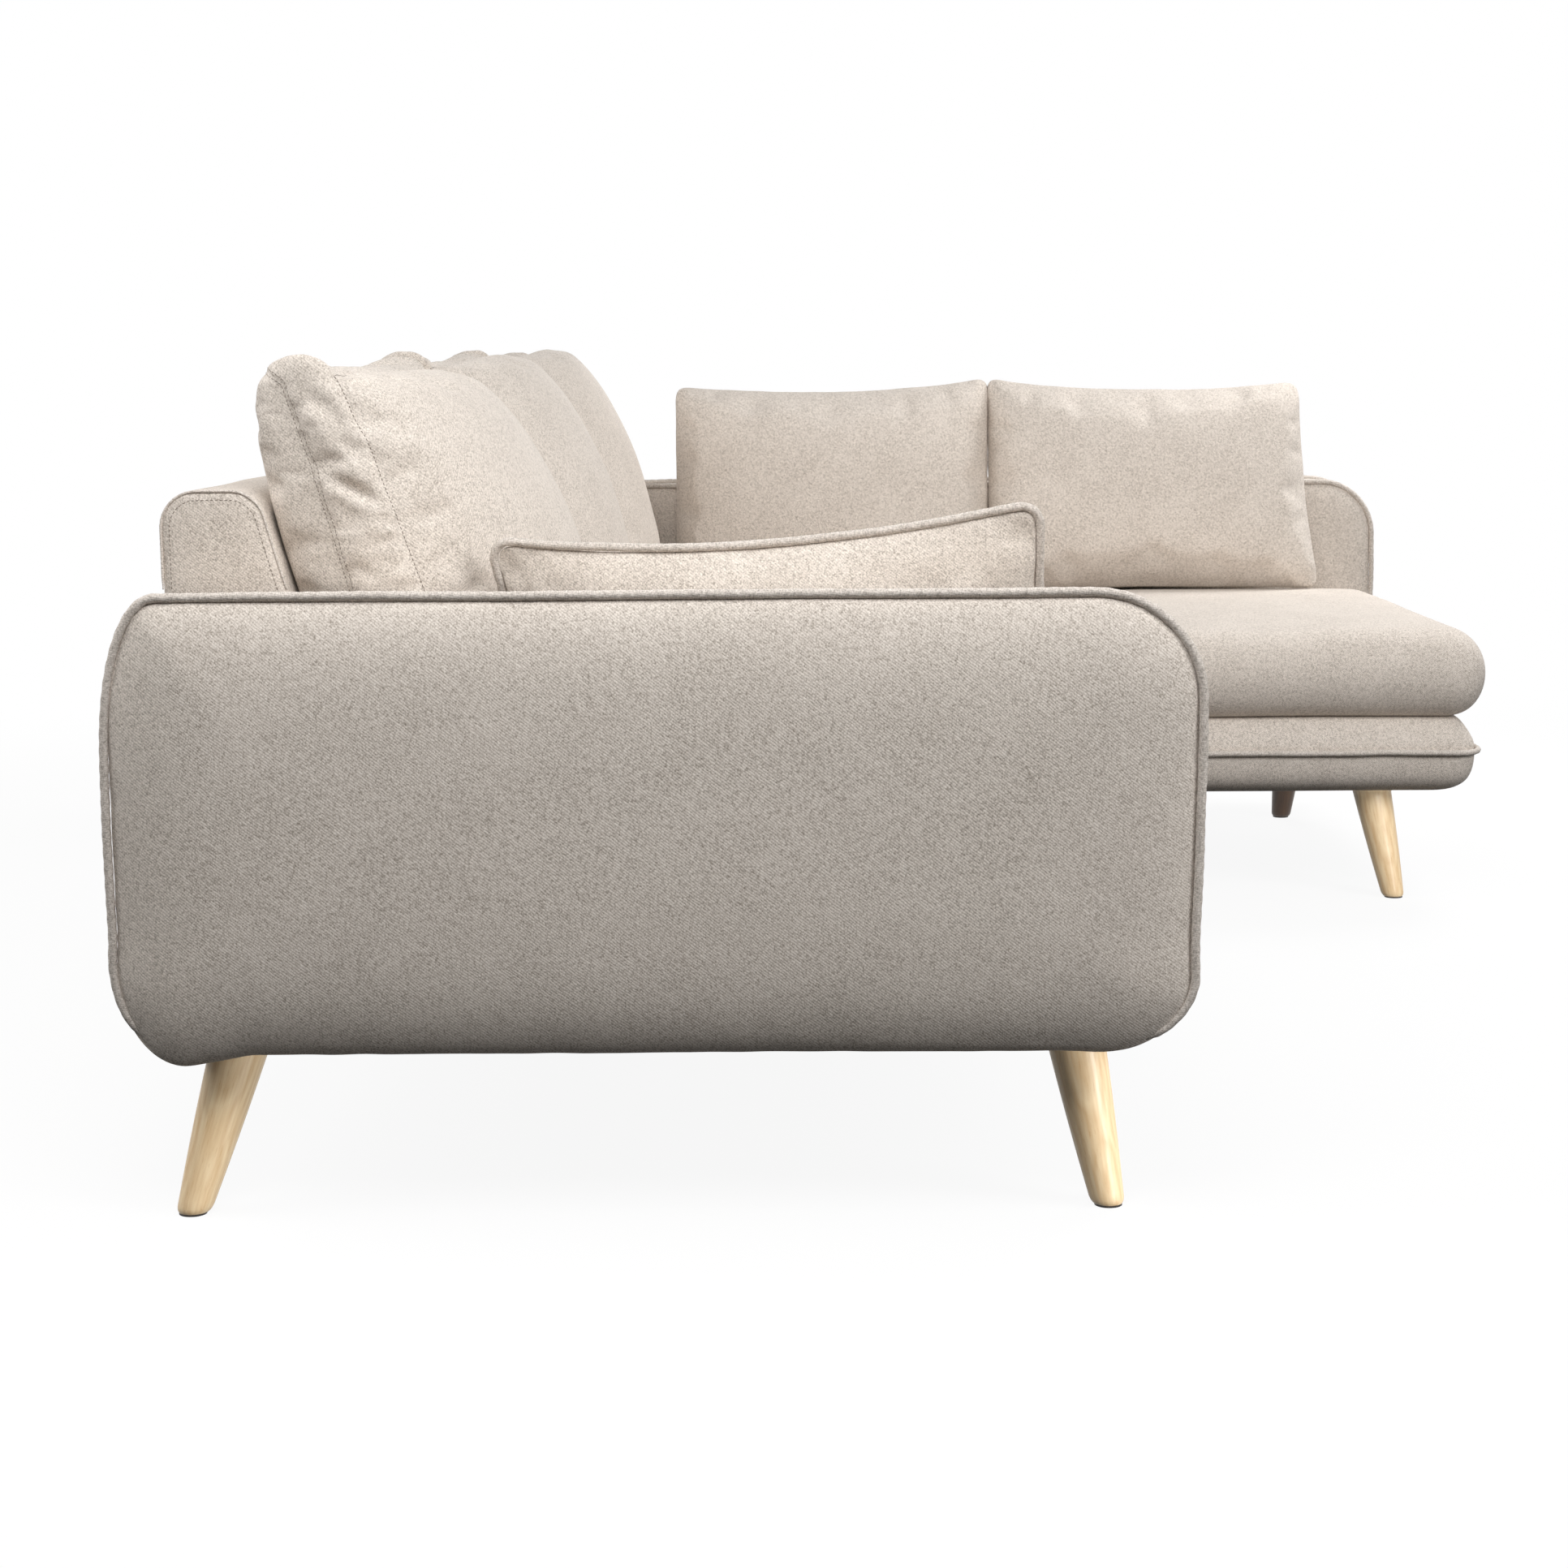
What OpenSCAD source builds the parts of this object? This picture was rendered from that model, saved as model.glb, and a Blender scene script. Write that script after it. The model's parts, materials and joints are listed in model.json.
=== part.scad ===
// Corner sofa: a run with a short arm and a raked back, and a chaise closed by a long arm.
// X runs along the sofa from the short arm, Y to the back, Z up, origin under the middle of the footprint.

/* [Overall] */
// Length over both arms
sofa_length = 2534; // [2250:1:2900]
// Depth of the run, from the front of the short arm to the rear
run_depth = 1033; // [920:1:1150]
// How far the chaise stands ahead of the short arm
chaise_reach = 643; // [450:1:800]
// Width of the chaise seat
chaise_width = 822; // [700:1:950]

/* [Legs] */
// Height of the timber frames above the floor
frame_lift = 170; // [130:1:210]
// Diameter of a leg at its top
leg_top_d = 58; // [46:1:62]
// Diameter of a leg at its foot
leg_foot_d = 32; // [26:1:40]
// Lean of the front legs in degrees
front_splay = 15; // [5:1:20]
// Lean of the rear legs in degrees
rear_splay = 21; // [5:1:24]
// Thickness of the glide under each leg
glide_t = 2; // [1:0.5:5]
// Diameter of each glide
glide_d = 27; // [18:1:30]
// Side of the square steel plate over each leg
plate_w = 76; // [68:1:84]
// Thickness of that plate
plate_t = 3; // [2:0.5:5]
// Distance from a leg's plate to the side or the rear of its frame
plate_edge = 3; // [1:0.5:5]
// Distance from a front leg's plate to the front of the short arm's frame
plate_front = 11; // [3:1:30]
// Distance from a front leg's plate to the front of the chaise's frame
plate_tip = 53; // [20:1:90]

/* [Arms] */
// Width of an arm
arm_width = 165; // [150:1:200]
// Height of the top of an arm's piping
arm_top = 605; // [540:1:640]
// How far an arm's padding hangs below its frame
arm_hang = 5; // [4:1:16]
// How far an arm's outer panel swells past its seam
arm_crown = 25; // [15:1:32]
// How far an arm's inner panel swells past its seam
arm_inner_crown = 13; // [8:1:16]
// How much lower the inner seam of the short arm lies
arm_fall = 11; // [0:1:16]
// Padding over an arm's frame on its outer side
arm_pad_out = 45; // [40:1:50]
// Padding over an arm's frame on its inner side
arm_pad_in = 18; // [14:1:20]
// Padding over the top of an arm's frame
arm_pad_top = 55; // [40:1:70]

/* [Back] */
// Height of the top of the back
back_top = 691; // [640:1:760]
// Thickness of the back at its top
back_thick = 94; // [80:1:120]
// Rake of the front face of the back in degrees
back_rake = 15.6; // [8:0.1:18]
// Distance from the rear of the arms to the rear of the back
back_set = 33; // [20:1:50]

/* [Seat] */
// Height of the top of the bases
base_top = 279; // [255:1:300]
// Height of the seat at its edges
seat_top = 414; // [390:1:450]
// Swell of the seat pads in the middle
seat_crown = 9; // [3:1:14]
// Padding over the base frames on the sides that show
base_pad = 50; // [45:1:60]
// Height of the base piping above the frame's underside
base_pipe_up = 60; // [50:1:75]
// Distance from the front of the short arm to the front of the run's seat
seat_set = 12; // [4:1:30]

/* [Cushions] */
// Height of a back cushion above the seat at its sides
back_cushion_h = 377; // [330:1:410]
// Swell of a back cushion's front
back_cushion_swell = 125; // [80:1:140]
// Side panel of a back cushion at its foot
gusset_low = 88; // [60:1:110]
// Side panel of a back cushion at its top
gusset_high = 56; // [40:1:80]
// Width of a chaise pillow
pillow_w = 536; // [450:1:560]
// Height of a chaise pillow
pillow_h = 358; // [300:1:400]
// Thickness of a chaise pillow
pillow_t = 164; // [110:1:170]
// Lean of the chaise pillows in degrees
pillow_lean = 10; // [6:1:14]
// Width of the lumbar pillow over its piping
lumbar_w = 546; // [440:1:560]
// Height of the lumbar pillow over its piping
lumbar_h = 230; // [200:1:290]
// Thickness of the lumbar pillow
lumbar_t = 104; // [80:1:120]
// Lean of the lumbar pillow in degrees
lumbar_lean = 15; // [8:1:20]

/* [Trim and joinery] */
// Diameter of the piping
pipe_d = 9; // [6:0.5:11]
// Thickness of the frame boards
board_t = 22; // [18:1:26]
// Thickness of the webbing
web_t = 2; // [1.5:0.5:3]
// Width of a webbing strap
web_w = 60; // [40:1:70]
// Diameter of the bolts
bolt_d = 8; // [6:1:10]
// Thickness of the dust cover cloth
cloth_t = 1; // [0.8:0.1:1.5]

/* [Hidden] */

// Fabric, wood and steel colours
fabric = [0.76, 0.71, 0.65];
fabric_dark = [0.66, 0.61, 0.55];
oak = [0.86, 0.74, 0.56];
pine = [0.80, 0.66, 0.45];
steel = [0.55, 0.56, 0.58];
black = [0.10, 0.10, 0.10];
$fn = 48;

// Clearance between soft pieces and between a frame and its padding
gap = 0.3;
// Clearance round a bolt
bolt_gap = 0.2;
// Outer sides of the sofa
x_near = -sofa_length / 2;
x_far = sofa_length / 2;
y_rear = (run_depth + chaise_reach) / 2;
y_tip = -y_rear;
y_arm = y_rear - run_depth;
// Inner faces of the arms, and the line where the two units meet
x_in = x_near + arm_width;
x_out = x_far - arm_width;
x_joint = x_out - chaise_width;
// Piping stands outside the seam that it follows
pipe_r = pipe_d / 2;
pipe_lay = pipe_r + gap;
pipe_out = pipe_d + gap;
// How far a cutting shape passes the faces that it cuts
past = 1;
// Distance from an arm's end seam to its frame, and cover that closes a base or back at its sides
frame_end = 58;
side_skin = 5;
// Radius of the edges where two upholstered pieces meet
small_round = 6;

// Plans of the two bases, and of the frames that stand inside them
y_back = y_rear - back_set;
run_lo = [x_in + gap, y_arm + seat_set - pipe_out];
run_hi = [x_joint - gap, y_back];
chaise_lo = [x_joint, y_tip];
chaise_hi = [x_out - gap, y_back];
frame_top = base_top - 2 * web_t;
run_frame_lo = [run_lo[0] + side_skin, run_lo[1] + pipe_out + base_pad, frame_lift];
run_frame_hi = [run_hi[0] - side_skin, run_hi[1] - side_skin, frame_top];
chaise_frame_lo = [chaise_lo[0] + pipe_out + base_pad, chaise_lo[1] + pipe_out + base_pad, frame_lift];
chaise_frame_hi = [chaise_hi[0] - side_skin, chaise_hi[1] - side_skin, frame_top];

// Rounded outline of an arm seen along X: quarter ellipses given as [depth, height]
round_top_front = [98, 98];
round_top_rear = [62, 122];
round_foot_rear = [60, 122];
round_foot_front = [85, 72];

function sum(v, i = 0) = i < len(v) ? v[i] + sum(v, i + 1) : 0;
function mean(ps) = [for (k = [0:2]) sum([for (p = ps) p[k]]) / len(ps)];
function mean2(pair) = (pair[0] + pair[1]) / 2;
function flatten(rows) = [for (row = rows) for (p = row) p];
// Steps from -1 to 1 that close up towards both ends
function spread(i, n) = sin(90 * (2 * i / n - 1));

// Quarter of an ellipse about c from angle a0 to a1
function arc(c, r, a0, a1, n) =
    [for (i = [0:n]) let(a = a0 + (a1 - a0) * i / n) [c[0] + r[0] * cos(a), c[1] + r[1] * sin(a)]];

// Outline with four rounded corners, grown outwards by g, anticlockwise from the foot at high y
function arm_outline(lo, hi, g = 0, cut = 0) =
    let(grow = [g, g], foot_front = lo + round_foot_front)
    concat(
        arc([hi[0] - round_foot_rear[0], lo[1] + round_foot_rear[1]], round_foot_rear + grow, cut - 90, 0, 8),
        arc([hi[0] - round_top_rear[0], hi[1] - round_top_rear[1]], round_top_rear + grow, 0, 90, 8),
        arc([lo[0] + round_top_front[0], hi[1] - round_top_front[1]], round_top_front + grow, 90, 180, 8),
        arc(foot_front, round_foot_front + grow, 180, 270 - cut, 8));

// Corner p of a polygon between a and b, rounded with radius r
function fillet(a, p, b, r, n = 6) =
    let(u = (a - p) / norm(a - p), v = (b - p) / norm(b - p),
        half = acos(u * v) / 2,
        c = p + (u + v) / norm(u + v) * r / sin(half),
        s = p + u * r / tan(half) - c,
        e = p + v * r / tan(half) - c,
        a0 = atan2(s[1], s[0]),
        turn = atan2(s[0] * e[1] - s[1] * e[0], s * e))
    [for (i = [0:n]) c + r * [cos(a0 + turn * i / n), sin(a0 + turn * i / n)]];

// Polygon with each corner rounded with its own radius
function rounded(ps, rs, n = 6) =
    let(m = len(ps))
    flatten([for (i = [0:m - 1])
        rs[i] == 0 ? [ps[i]] : fillet(ps[(i + m - 1) % m], ps[i], ps[(i + 1) % m], rs[i], n)]);

// Closed form through rings of equal count, anticlockwise seen from the last ring's side
module loft(rings) {
    n = len(rings[0]);
    m = len(rings);
    points = concat(flatten(rings), [mean(rings[0]), mean(rings[m - 1])]);
    sides = [for (j = [0:m - 2]) for (i = [0:n - 1])
        let(a = j * n + i, b = j * n + (i + 1) % n, c = (j + 1) * n + (i + 1) % n, d = (j + 1) * n + i)
        each [[a, c, b], [a, d, c]]];
    ends = [for (i = [0:n - 1])
        each [[m * n, i, (i + 1) % n], [m * n + 1, (m - 1) * n + (i + 1) % n, (m - 1) * n + i]]];
    polyhedron(points = points, faces = concat(sides, ends), convexity = 6);
}

// Round trim along a flat path
module trim(path, closed = false) {
    sides = 6;
    n = len(path);
    rings = [for (i = [0:n - 1])
        let(a = path[closed ? (i + n - 1) % n : max(i - 1, 0)],
            b = path[closed ? (i + 1) % n : min(i + 1, n - 1)],
            t = (b - a) / norm(b - a))
        [for (k = [0:sides - 1]) let(q = 360 * k / sides)
            [path[i][0] - pipe_r * cos(q) * t[1], path[i][1] + pipe_r * cos(q) * t[0], pipe_r * sin(q)]]];
    if (closed) {
        faces = [for (j = [0:n - 1]) for (k = [0:sides - 1])
            let(a = j * sides + k, b = j * sides + (k + 1) % sides,
                c = (j + 1) % n * sides + (k + 1) % sides, d = (j + 1) % n * sides + k)
            each [[a, c, b], [a, d, c]]];
        polyhedron(points = flatten(rings), faces = faces, convexity = 6);
    } else {
        loft(rings);
    }
}

// Stuffed form between two sheets of nu by nv steps, closed by a band of nb steps.
// place(u, v, w) gives a point: u and v run from -1 to 1 over a sheet, w from 0 to 1 through it.
module stuffed(nu, nv, nb, place) {
    rim = 2 * (nu + nv);
    sheet_n = (nu + 1) * (nv + 1);
    border = [for (k = [0:rim - 1])
        k < nu ? [k, 0]
        : k < nu + nv ? [nu, k - nu]
        : k < 2 * nu + nv ? [2 * nu + nv - k, nv]
        : [0, rim - k]];
    sheets = [for (w = [0, 1]) for (j = [0:nv]) for (i = [0:nu]) place(spread(i, nu), spread(j, nv), w)];
    band = nb < 2 ? [] : [for (k = [1:nb - 1]) for (p = border)
        place(spread(p[0], nu), spread(p[1], nv), k / nb)];
    function on_sheet(i, j, w) = w * sheet_n + j * (nu + 1) + i;
    function on_band(k, b) = let(p = border[b % rim])
        k == 0 ? on_sheet(p[0], p[1], 0)
        : k == nb ? on_sheet(p[0], p[1], 1)
        : 2 * sheet_n + (k - 1) * rim + b % rim;
    faces = concat(
        [for (j = [0:nv - 1]) for (i = [0:nu - 1]) for (w = [0, 1])
            let(a = on_sheet(i, j, w), b = on_sheet(i + 1, j, w),
                c = on_sheet(i + 1, j + 1, w), d = on_sheet(i, j + 1, w))
            each w == 1 ? [[a, d, c], [a, c, b]] : [[a, c, d], [a, b, c]]],
        [for (k = [0:nb - 1]) for (b = [0:rim - 1])
            let(p = on_band(k, b), q = on_band(k, b + 1), r = on_band(k + 1, b + 1), s = on_band(k + 1, b))
            each [[p, r, q], [p, s, r]]]);
    polyhedron(points = concat(sheets, band), faces = faces, convexity = 6);
}

// Box between two corners
module block(lo, hi) {
    translate(lo)
        cube(hi - lo);
}

// Legs stand at the sides and ends of the frames, a plate's edge inside them
leg_near = x_in - arm_pad_in - plate_edge - plate_w / 2;
leg_run = run_frame_hi[0] - plate_edge - plate_w / 2;
leg_chaise = chaise_frame_lo[0] + plate_edge + plate_w / 2;
leg_far = chaise_frame_hi[0] - plate_edge - plate_w / 2;
leg_front = y_arm + pipe_out + frame_end + plate_front + plate_w / 2;
leg_rear = y_rear - pipe_out - frame_end - plate_edge - plate_w / 2;
leg_tip = chaise_frame_lo[1] + plate_tip + plate_w / 2;
// Each leg as [x, y, lean, direction of the lean]
legs = [
    [leg_near, leg_front, front_splay, 225],
    [leg_near, leg_rear, rear_splay, 135],
    [leg_run, leg_front, front_splay, 315],
    [leg_run, leg_rear, rear_splay, 45],
    [leg_chaise, leg_tip, front_splay, 225],
    [leg_chaise, leg_rear, rear_splay, 135],
    [leg_far, leg_tip, front_splay, 10],
    [leg_far, leg_rear, rear_splay, 45]
];
leg_top_z = frame_lift - plate_t;
// Length of a leg bolt below and above the frame's underside, and height of the block that takes it
bolt_in_leg = 46;
bolt_in_frame = 17;
block_h = 45;

// Moves a shape that hangs down from the origin onto the axis of a leg
module on_leg(leg) {
    translate([leg[0], leg[1], frame_lift])
        rotate([0, 0, leg[3]])
            rotate([0, -leg[2], 0])
                children();
}

module leg_bore(leg, spare) {
    on_leg(leg)
        translate([0, 0, -bolt_in_leg - spare])
            cylinder(h = bolt_in_leg + bolt_in_frame + 2 * spare, d = bolt_d + 2 * spare, $fn = 24);
}

module leg(i) {
    reach = frame_lift / cos(legs[i][2]);
    over = 30;
    taper = (leg_top_d - leg_foot_d) * over / reach;
    room = [frame_lift, frame_lift, 0];
    at = [legs[i][0], legs[i][1], 0];
    color(oak)
        difference() {
            intersection() {
                on_leg(legs[i])
                    translate([0, 0, -reach - over])
                        cylinder(h = reach + 2 * over, d1 = leg_foot_d - taper, d2 = leg_top_d + taper);
                block(at - room + [0, 0, glide_t], at + room + [0, 0, leg_top_z]);
            }
            leg_bore(legs[i], bolt_gap);
        }
}

module leg_plates() {
    color(steel)
        for (leg = legs)
            difference() {
                translate([leg[0] - plate_w / 2, leg[1] - plate_w / 2, leg_top_z])
                    cube([plate_w, plate_w, plate_t]);
                leg_bore(leg, bolt_gap);
            }
}

module leg_bolts() {
    color(steel)
        for (leg = legs)
            leg_bore(leg, 0);
}

// Middle of a leg's foot on the floor
function foot(leg) = [leg[0], leg[1]] + frame_lift * tan(leg[2]) * [cos(leg[3]), sin(leg[3])];

module leg_glides() {
    color(black)
        for (leg = legs)
            translate(foot(leg))
                cylinder(h = glide_t, d = glide_d);
}

// Arms. Rows of [distance from the outer face, share of the seam outline drawn in]
arm_low = frame_lift - arm_hang;
arm_outer_swell = [[0, 150], [0.05, 100], [0.22, 58], [0.48, 27], [0.75, 9], [1, 0]];
arm_inner_swell = [[1, 0], [0.7, 8], [0.25, 30], [0, 70]];

// Ring of an arm at x, its outline drawn in by d
function arm_ring(x, lo, hi, d) =
    let(c = (lo + hi) / 2, h = (hi - lo) / 2)
    [for (p = arm_outline(lo, hi))
        [x, c[0] + (p[0] - c[0]) * (1 - d / h[0]), c[1] + (p[1] - c[1]) * (1 - d / h[1])]];

// Padded arm from its outer face at 0 to its inner face at arm_width, seams between y0 and y1
module arm_form(y0, y1, fall) {
    lo = [y0 + pipe_out, arm_low];
    hi = [y1 - pipe_out, arm_top - pipe_out];
    hi_in = hi - [0, fall];
    loft(concat(
        [for (s = arm_outer_swell) arm_ring(arm_crown * s[0], lo, hi, s[1])],
        [for (s = arm_inner_swell) arm_ring(arm_width - arm_inner_crown * s[0], lo, hi_in, s[1])]));
}

// Room for an arm's frame, open below
arm_frame_top = arm_top - pipe_out - arm_pad_top;
function arm_frame_lo(y0) = [arm_pad_out, y0 + pipe_out + frame_end, frame_lift];
function arm_frame_hi(y1) = [arm_width - arm_pad_in, y1 - pipe_out - frame_end, arm_frame_top];

module arm_pad(y0, y1, fall) {
    difference() {
        arm_form(y0, y1, fall);
        block(arm_frame_lo(y0) - [gap, gap, 2 * arm_hang], arm_frame_hi(y1) + [gap, gap, gap]);
    }
}

// Frames have equal bays between their boards, none over bay_max
bay_max = 240;
function bay_count(span) = ceil((span - board_t) / bay_max);
function bay_step(span) = (span - board_t) / bay_count(span);

// Ladder frame of an arm: bottom and top boards, uprights and an inner panel
panel_t = 12;
module arm_frame(y0, y1) {
    lo = arm_frame_lo(y0);
    hi = arm_frame_hi(y1);
    bays = bay_count(hi[1] - lo[1]);
    step = bay_step(hi[1] - lo[1]);
    block(lo, [hi[0], hi[1], lo[2] + board_t]);
    block([lo[0], lo[1], hi[2] - board_t], hi);
    for (i = [0:bays])
        block([lo[0], lo[1] + i * step, lo[2]], [hi[0], lo[1] + i * step + board_t, hi[2]]);
    block([hi[0] - panel_t, lo[1], lo[2]], hi);
}

// Bolts from an arm's inner panel into the side rail of the base next to it, each in the middle of a bay
arm_bolt_z = frame_lift + 62;
function bolt_bays(y0, y1, count) =
    let(lo = arm_frame_lo(y0)[1], span = arm_frame_hi(y1)[1] - lo, last = bay_count(span) - 1)
    [for (i = [0:count - 1]) lo + (round(last * i / (count - 1)) + 0.5) * bay_step(span) + board_t / 2];
short_arm_bolts = bolt_bays(y_arm, y_rear, 3);
long_arm_bolts = bolt_bays(y_tip, y_rear, 4);
bolt_head_d = 2 * bolt_d;
bolt_head_t = 5;
bolt_len = panel_t + arm_pad_in + side_skin + board_t + 3 * gap;

// A bolt along +X that starts at the inner side of an arm's panel
module arm_bolt(spare, head = true) {
    rotate([0, 90, 0])
        translate([0, 0, -spare])
            cylinder(h = bolt_len + 2 * spare, d = bolt_d + 2 * spare, $fn = 24);
    if (head)
        rotate([0, -90, 0])
            cylinder(h = bolt_head_t, d = bolt_head_d, $fn = 24);
}

module short_arm_bolt_row(spare, head = true) {
    for (y = short_arm_bolts)
        translate([x_in - arm_pad_in - panel_t, y, arm_bolt_z])
            arm_bolt(spare, head);
}

module long_arm_bolt_row(spare, head = true) {
    for (y = long_arm_bolts)
        translate([x_out + arm_pad_in + panel_t, y, arm_bolt_z])
            mirror([1, 0, 0])
                arm_bolt(spare, head);
}

module arm_bolts() {
    color(steel) {
        short_arm_bolt_row(0);
        long_arm_bolt_row(0);
    }
}

module short_arm_pad() {
    color(fabric)
        difference() {
            translate([x_near, 0, 0])
                arm_pad(y_arm, y_rear, arm_fall);
            short_arm_bolt_row(bolt_gap, false);
        }
}

module short_arm_frame() {
    color(pine)
        difference() {
            translate([x_near, 0, 0])
                arm_frame(y_arm, y_rear);
            short_arm_bolt_row(bolt_gap, false);
            for (i = [0, 1])
                leg_bore(legs[i], 2 * bolt_gap);
        }
}

module long_arm_pad() {
    color(fabric)
        difference() {
            translate([x_far, 0, 0])
                mirror([1, 0, 0])
                    arm_pad(y_tip, y_rear, 0);
            long_arm_bolt_row(bolt_gap, false);
        }
}

module long_arm_frame() {
    color(pine)
        difference() {
            translate([x_far, 0, 0])
                mirror([1, 0, 0])
                    arm_frame(y_tip, y_rear);
            long_arm_bolt_row(bolt_gap, false);
        }
}

// Piping round an arm's seam in the plane at x
pipe_end = 50;
module arm_piping(x, y0, y1, fall) {
    lo = [y0 + pipe_out, arm_low];
    hi = [y1 - pipe_out, arm_top - pipe_out - fall];
    color(fabric_dark)
        translate([x, 0, 0])
            rotate([90, 0, 90])
                trim(arm_outline(lo, hi, pipe_lay, pipe_end));
}

module short_arm_outer_piping() {
    arm_piping(x_near + arm_crown, y_arm, y_rear, 0);
}

module short_arm_inner_piping() {
    arm_piping(x_in - arm_inner_crown, y_arm, y_rear, arm_fall);
}

module long_arm_outer_piping() {
    arm_piping(x_far - arm_crown, y_tip, y_rear, 0);
}

module long_arm_inner_piping() {
    arm_piping(x_out + arm_inner_crown, y_tip, y_rear, 0);
}

// Bases. Rows of [height over the frame's underside, draw-in]
base_h = base_top - frame_lift;
base_low = 4;
base_rise = [[base_low, 44], [base_low + 3, 30], [base_low + 10, 18], [base_low + 22, 8], [base_low + 36, 2],
             [base_pipe_up, 0], [base_pipe_up + 16, 6], [base_h - 20, 13], [base_h - 8, 20], [base_h, 27]];
base_corner = 62;

// Plan of a base drawn in by d on its front and, if told, on its near side
function base_plan(lo, hi, d, near_too, r) =
    let(a = near_too ? lo[0] + d : lo[0],
        radii = [near_too ? r : small_round, small_round, small_round, small_round])
    rounded([[a, lo[1] + d], [hi[0], lo[1] + d], hi, [a, hi[1]]], radii, 8);

module base_form(lo, hi, near_too) {
    loft([for (s = base_rise)
        let(plan = base_plan(lo, hi, s[1] + pipe_out, near_too, base_corner - s[1] / 2))
        [for (p = plan) [p[0], p[1], frame_lift + s[0]]]]);
}

module base_pad_form(lo, hi, frame_lo, frame_hi, near_too) {
    color(fabric)
        difference() {
            base_form(lo, hi, near_too);
            block(frame_lo - [gap, gap, past], [frame_hi[0] + gap, frame_hi[1] + gap, base_top + past]);
            short_arm_bolt_row(bolt_gap, false);
            long_arm_bolt_row(bolt_gap, false);
        }
}

module run_base_pad() {
    base_pad_form(run_lo, run_hi, run_frame_lo, run_frame_hi, false);
}

module chaise_base_pad() {
    base_pad_form(chaise_lo, chaise_hi, chaise_frame_lo, chaise_frame_hi, true);
}

// Piping along the widest line of a base, from its far end round to its near end
module run_base_piping() {
    y = run_lo[1] + pipe_out - pipe_lay;
    color(fabric_dark)
        translate([0, 0, frame_lift + base_pipe_up])
            trim([[run_hi[0] - gap, y], [run_lo[0] + gap, y]]);
}

module chaise_base_piping() {
    lo = chaise_lo + [pipe_r, pipe_r];
    bend = fillet([chaise_hi[0], lo[1]], lo, [lo[0], y_arm], base_corner + pipe_lay, 10);
    color(fabric_dark)
        translate([0, 0, frame_lift + base_pipe_up])
            trim(concat([[chaise_hi[0] - gap, lo[1]]], bend, [[lo[0], run_lo[1] - gap]]));
}

// Base frames: rails, cross boards and a block over each leg
module base_frame(lo, hi, on_legs) {
    bays = bay_count(hi[0] - lo[0]);
    step = bay_step(hi[0] - lo[0]);
    color(pine)
        difference() {
            union() {
                block(lo, [hi[0], lo[1] + board_t, hi[2]]);
                block([lo[0], hi[1] - board_t, lo[2]], hi);
                for (i = [0:bays]) {
                    x = lo[0] + i * step;
                    top = hi[2] - (i > 0 && i < bays ? board_t : 0);
                    block([x, lo[1], lo[2]], [x + board_t, hi[1], top]);
                }
                for (i = on_legs)
                    intersection() {
                        translate([legs[i][0] - plate_w, legs[i][1] - plate_w, frame_lift])
                            cube([2 * plate_w, 2 * plate_w, block_h]);
                        block(lo, hi);
                    }
            }
            for (i = on_legs)
                leg_bore(legs[i], 2 * bolt_gap);
            short_arm_bolt_row(bolt_gap, false);
            long_arm_bolt_row(bolt_gap, false);
        }
}

module run_base_frame() {
    base_frame(run_frame_lo, run_frame_hi, [2, 3]);
}

module chaise_base_frame() {
    base_frame(chaise_frame_lo, chaise_frame_hi, [4, 5, 6, 7]);
}

// Webbing: one layer of straps from front to rear, and one across on top of it
strap_pitch = 112;
module webbing(lo, hi) {
    nx = floor((hi[0] - lo[0] - web_w) / strap_pitch);
    ny = floor((hi[1] - lo[1] - web_w) / strap_pitch);
    color(black) {
        for (i = [0:nx])
            translate([lo[0] + i * (hi[0] - lo[0] - web_w) / nx, lo[1], hi[2]])
                cube([web_w, hi[1] - lo[1], web_t]);
        for (j = [0:ny])
            translate([lo[0], lo[1] + j * (hi[1] - lo[1] - web_w) / ny, hi[2] + web_t])
                cube([hi[0] - lo[0], web_w, web_t]);
    }
}

module run_webbing() {
    webbing(run_frame_lo, run_frame_hi);
}

module chaise_webbing() {
    webbing(chaise_frame_lo, chaise_frame_hi);
}

// Dust covers under the frames, cut out round the leg plates and the connectors
cover_edge = 8;
cover_room = 1;
module dust_cover(lo, hi) {
    cut_w = plate_w + 2 * cover_room;
    color(black)
        difference() {
            block([lo[0] + cover_edge, lo[1] + cover_edge, frame_lift - cloth_t],
                  [hi[0] - cover_edge, hi[1] - cover_edge, frame_lift]);
            for (leg = legs)
                translate([leg[0] - cut_w / 2, leg[1] - cut_w / 2, leg_top_z - past])
                    cube([cut_w, cut_w, plate_t + 2 * past]);
            connector_rows(cover_room);
        }
}

module run_dust_cover() {
    dust_cover(run_frame_lo, run_frame_hi);
}

module chaise_dust_cover() {
    dust_cover(chaise_frame_lo, chaise_frame_hi);
}

// Steel plates that join the two base frames from below
connector_w = 46;
connector_hold = 50;
connector_in = 310;
module connector_rows(spare) {
    room = [spare, spare, spare];
    for (y = [y_arm + connector_in, y_rear - connector_in])
        block([run_frame_hi[0] - connector_hold, y - connector_w / 2, leg_top_z] - room,
              [chaise_frame_lo[0] + connector_hold, y + connector_w / 2, frame_lift] + room);
}

module unit_connectors() {
    color(steel)
        connector_rows(0);
}

// Back: profile in Y and Z, raked at the front, with rounded top edges
back_round_rear = 42;
back_round_front = 26;
function back_front(z) = y_back - back_thick - (back_top - z) * tan(back_rake);
back_low = base_top + gap;
back_profile = rounded(
    [[back_front(back_low), back_low], [y_back, back_low],
     [y_back, back_top], [back_front(back_top), back_top]],
    [small_round, small_round, back_round_rear, back_round_front], 7);
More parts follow.
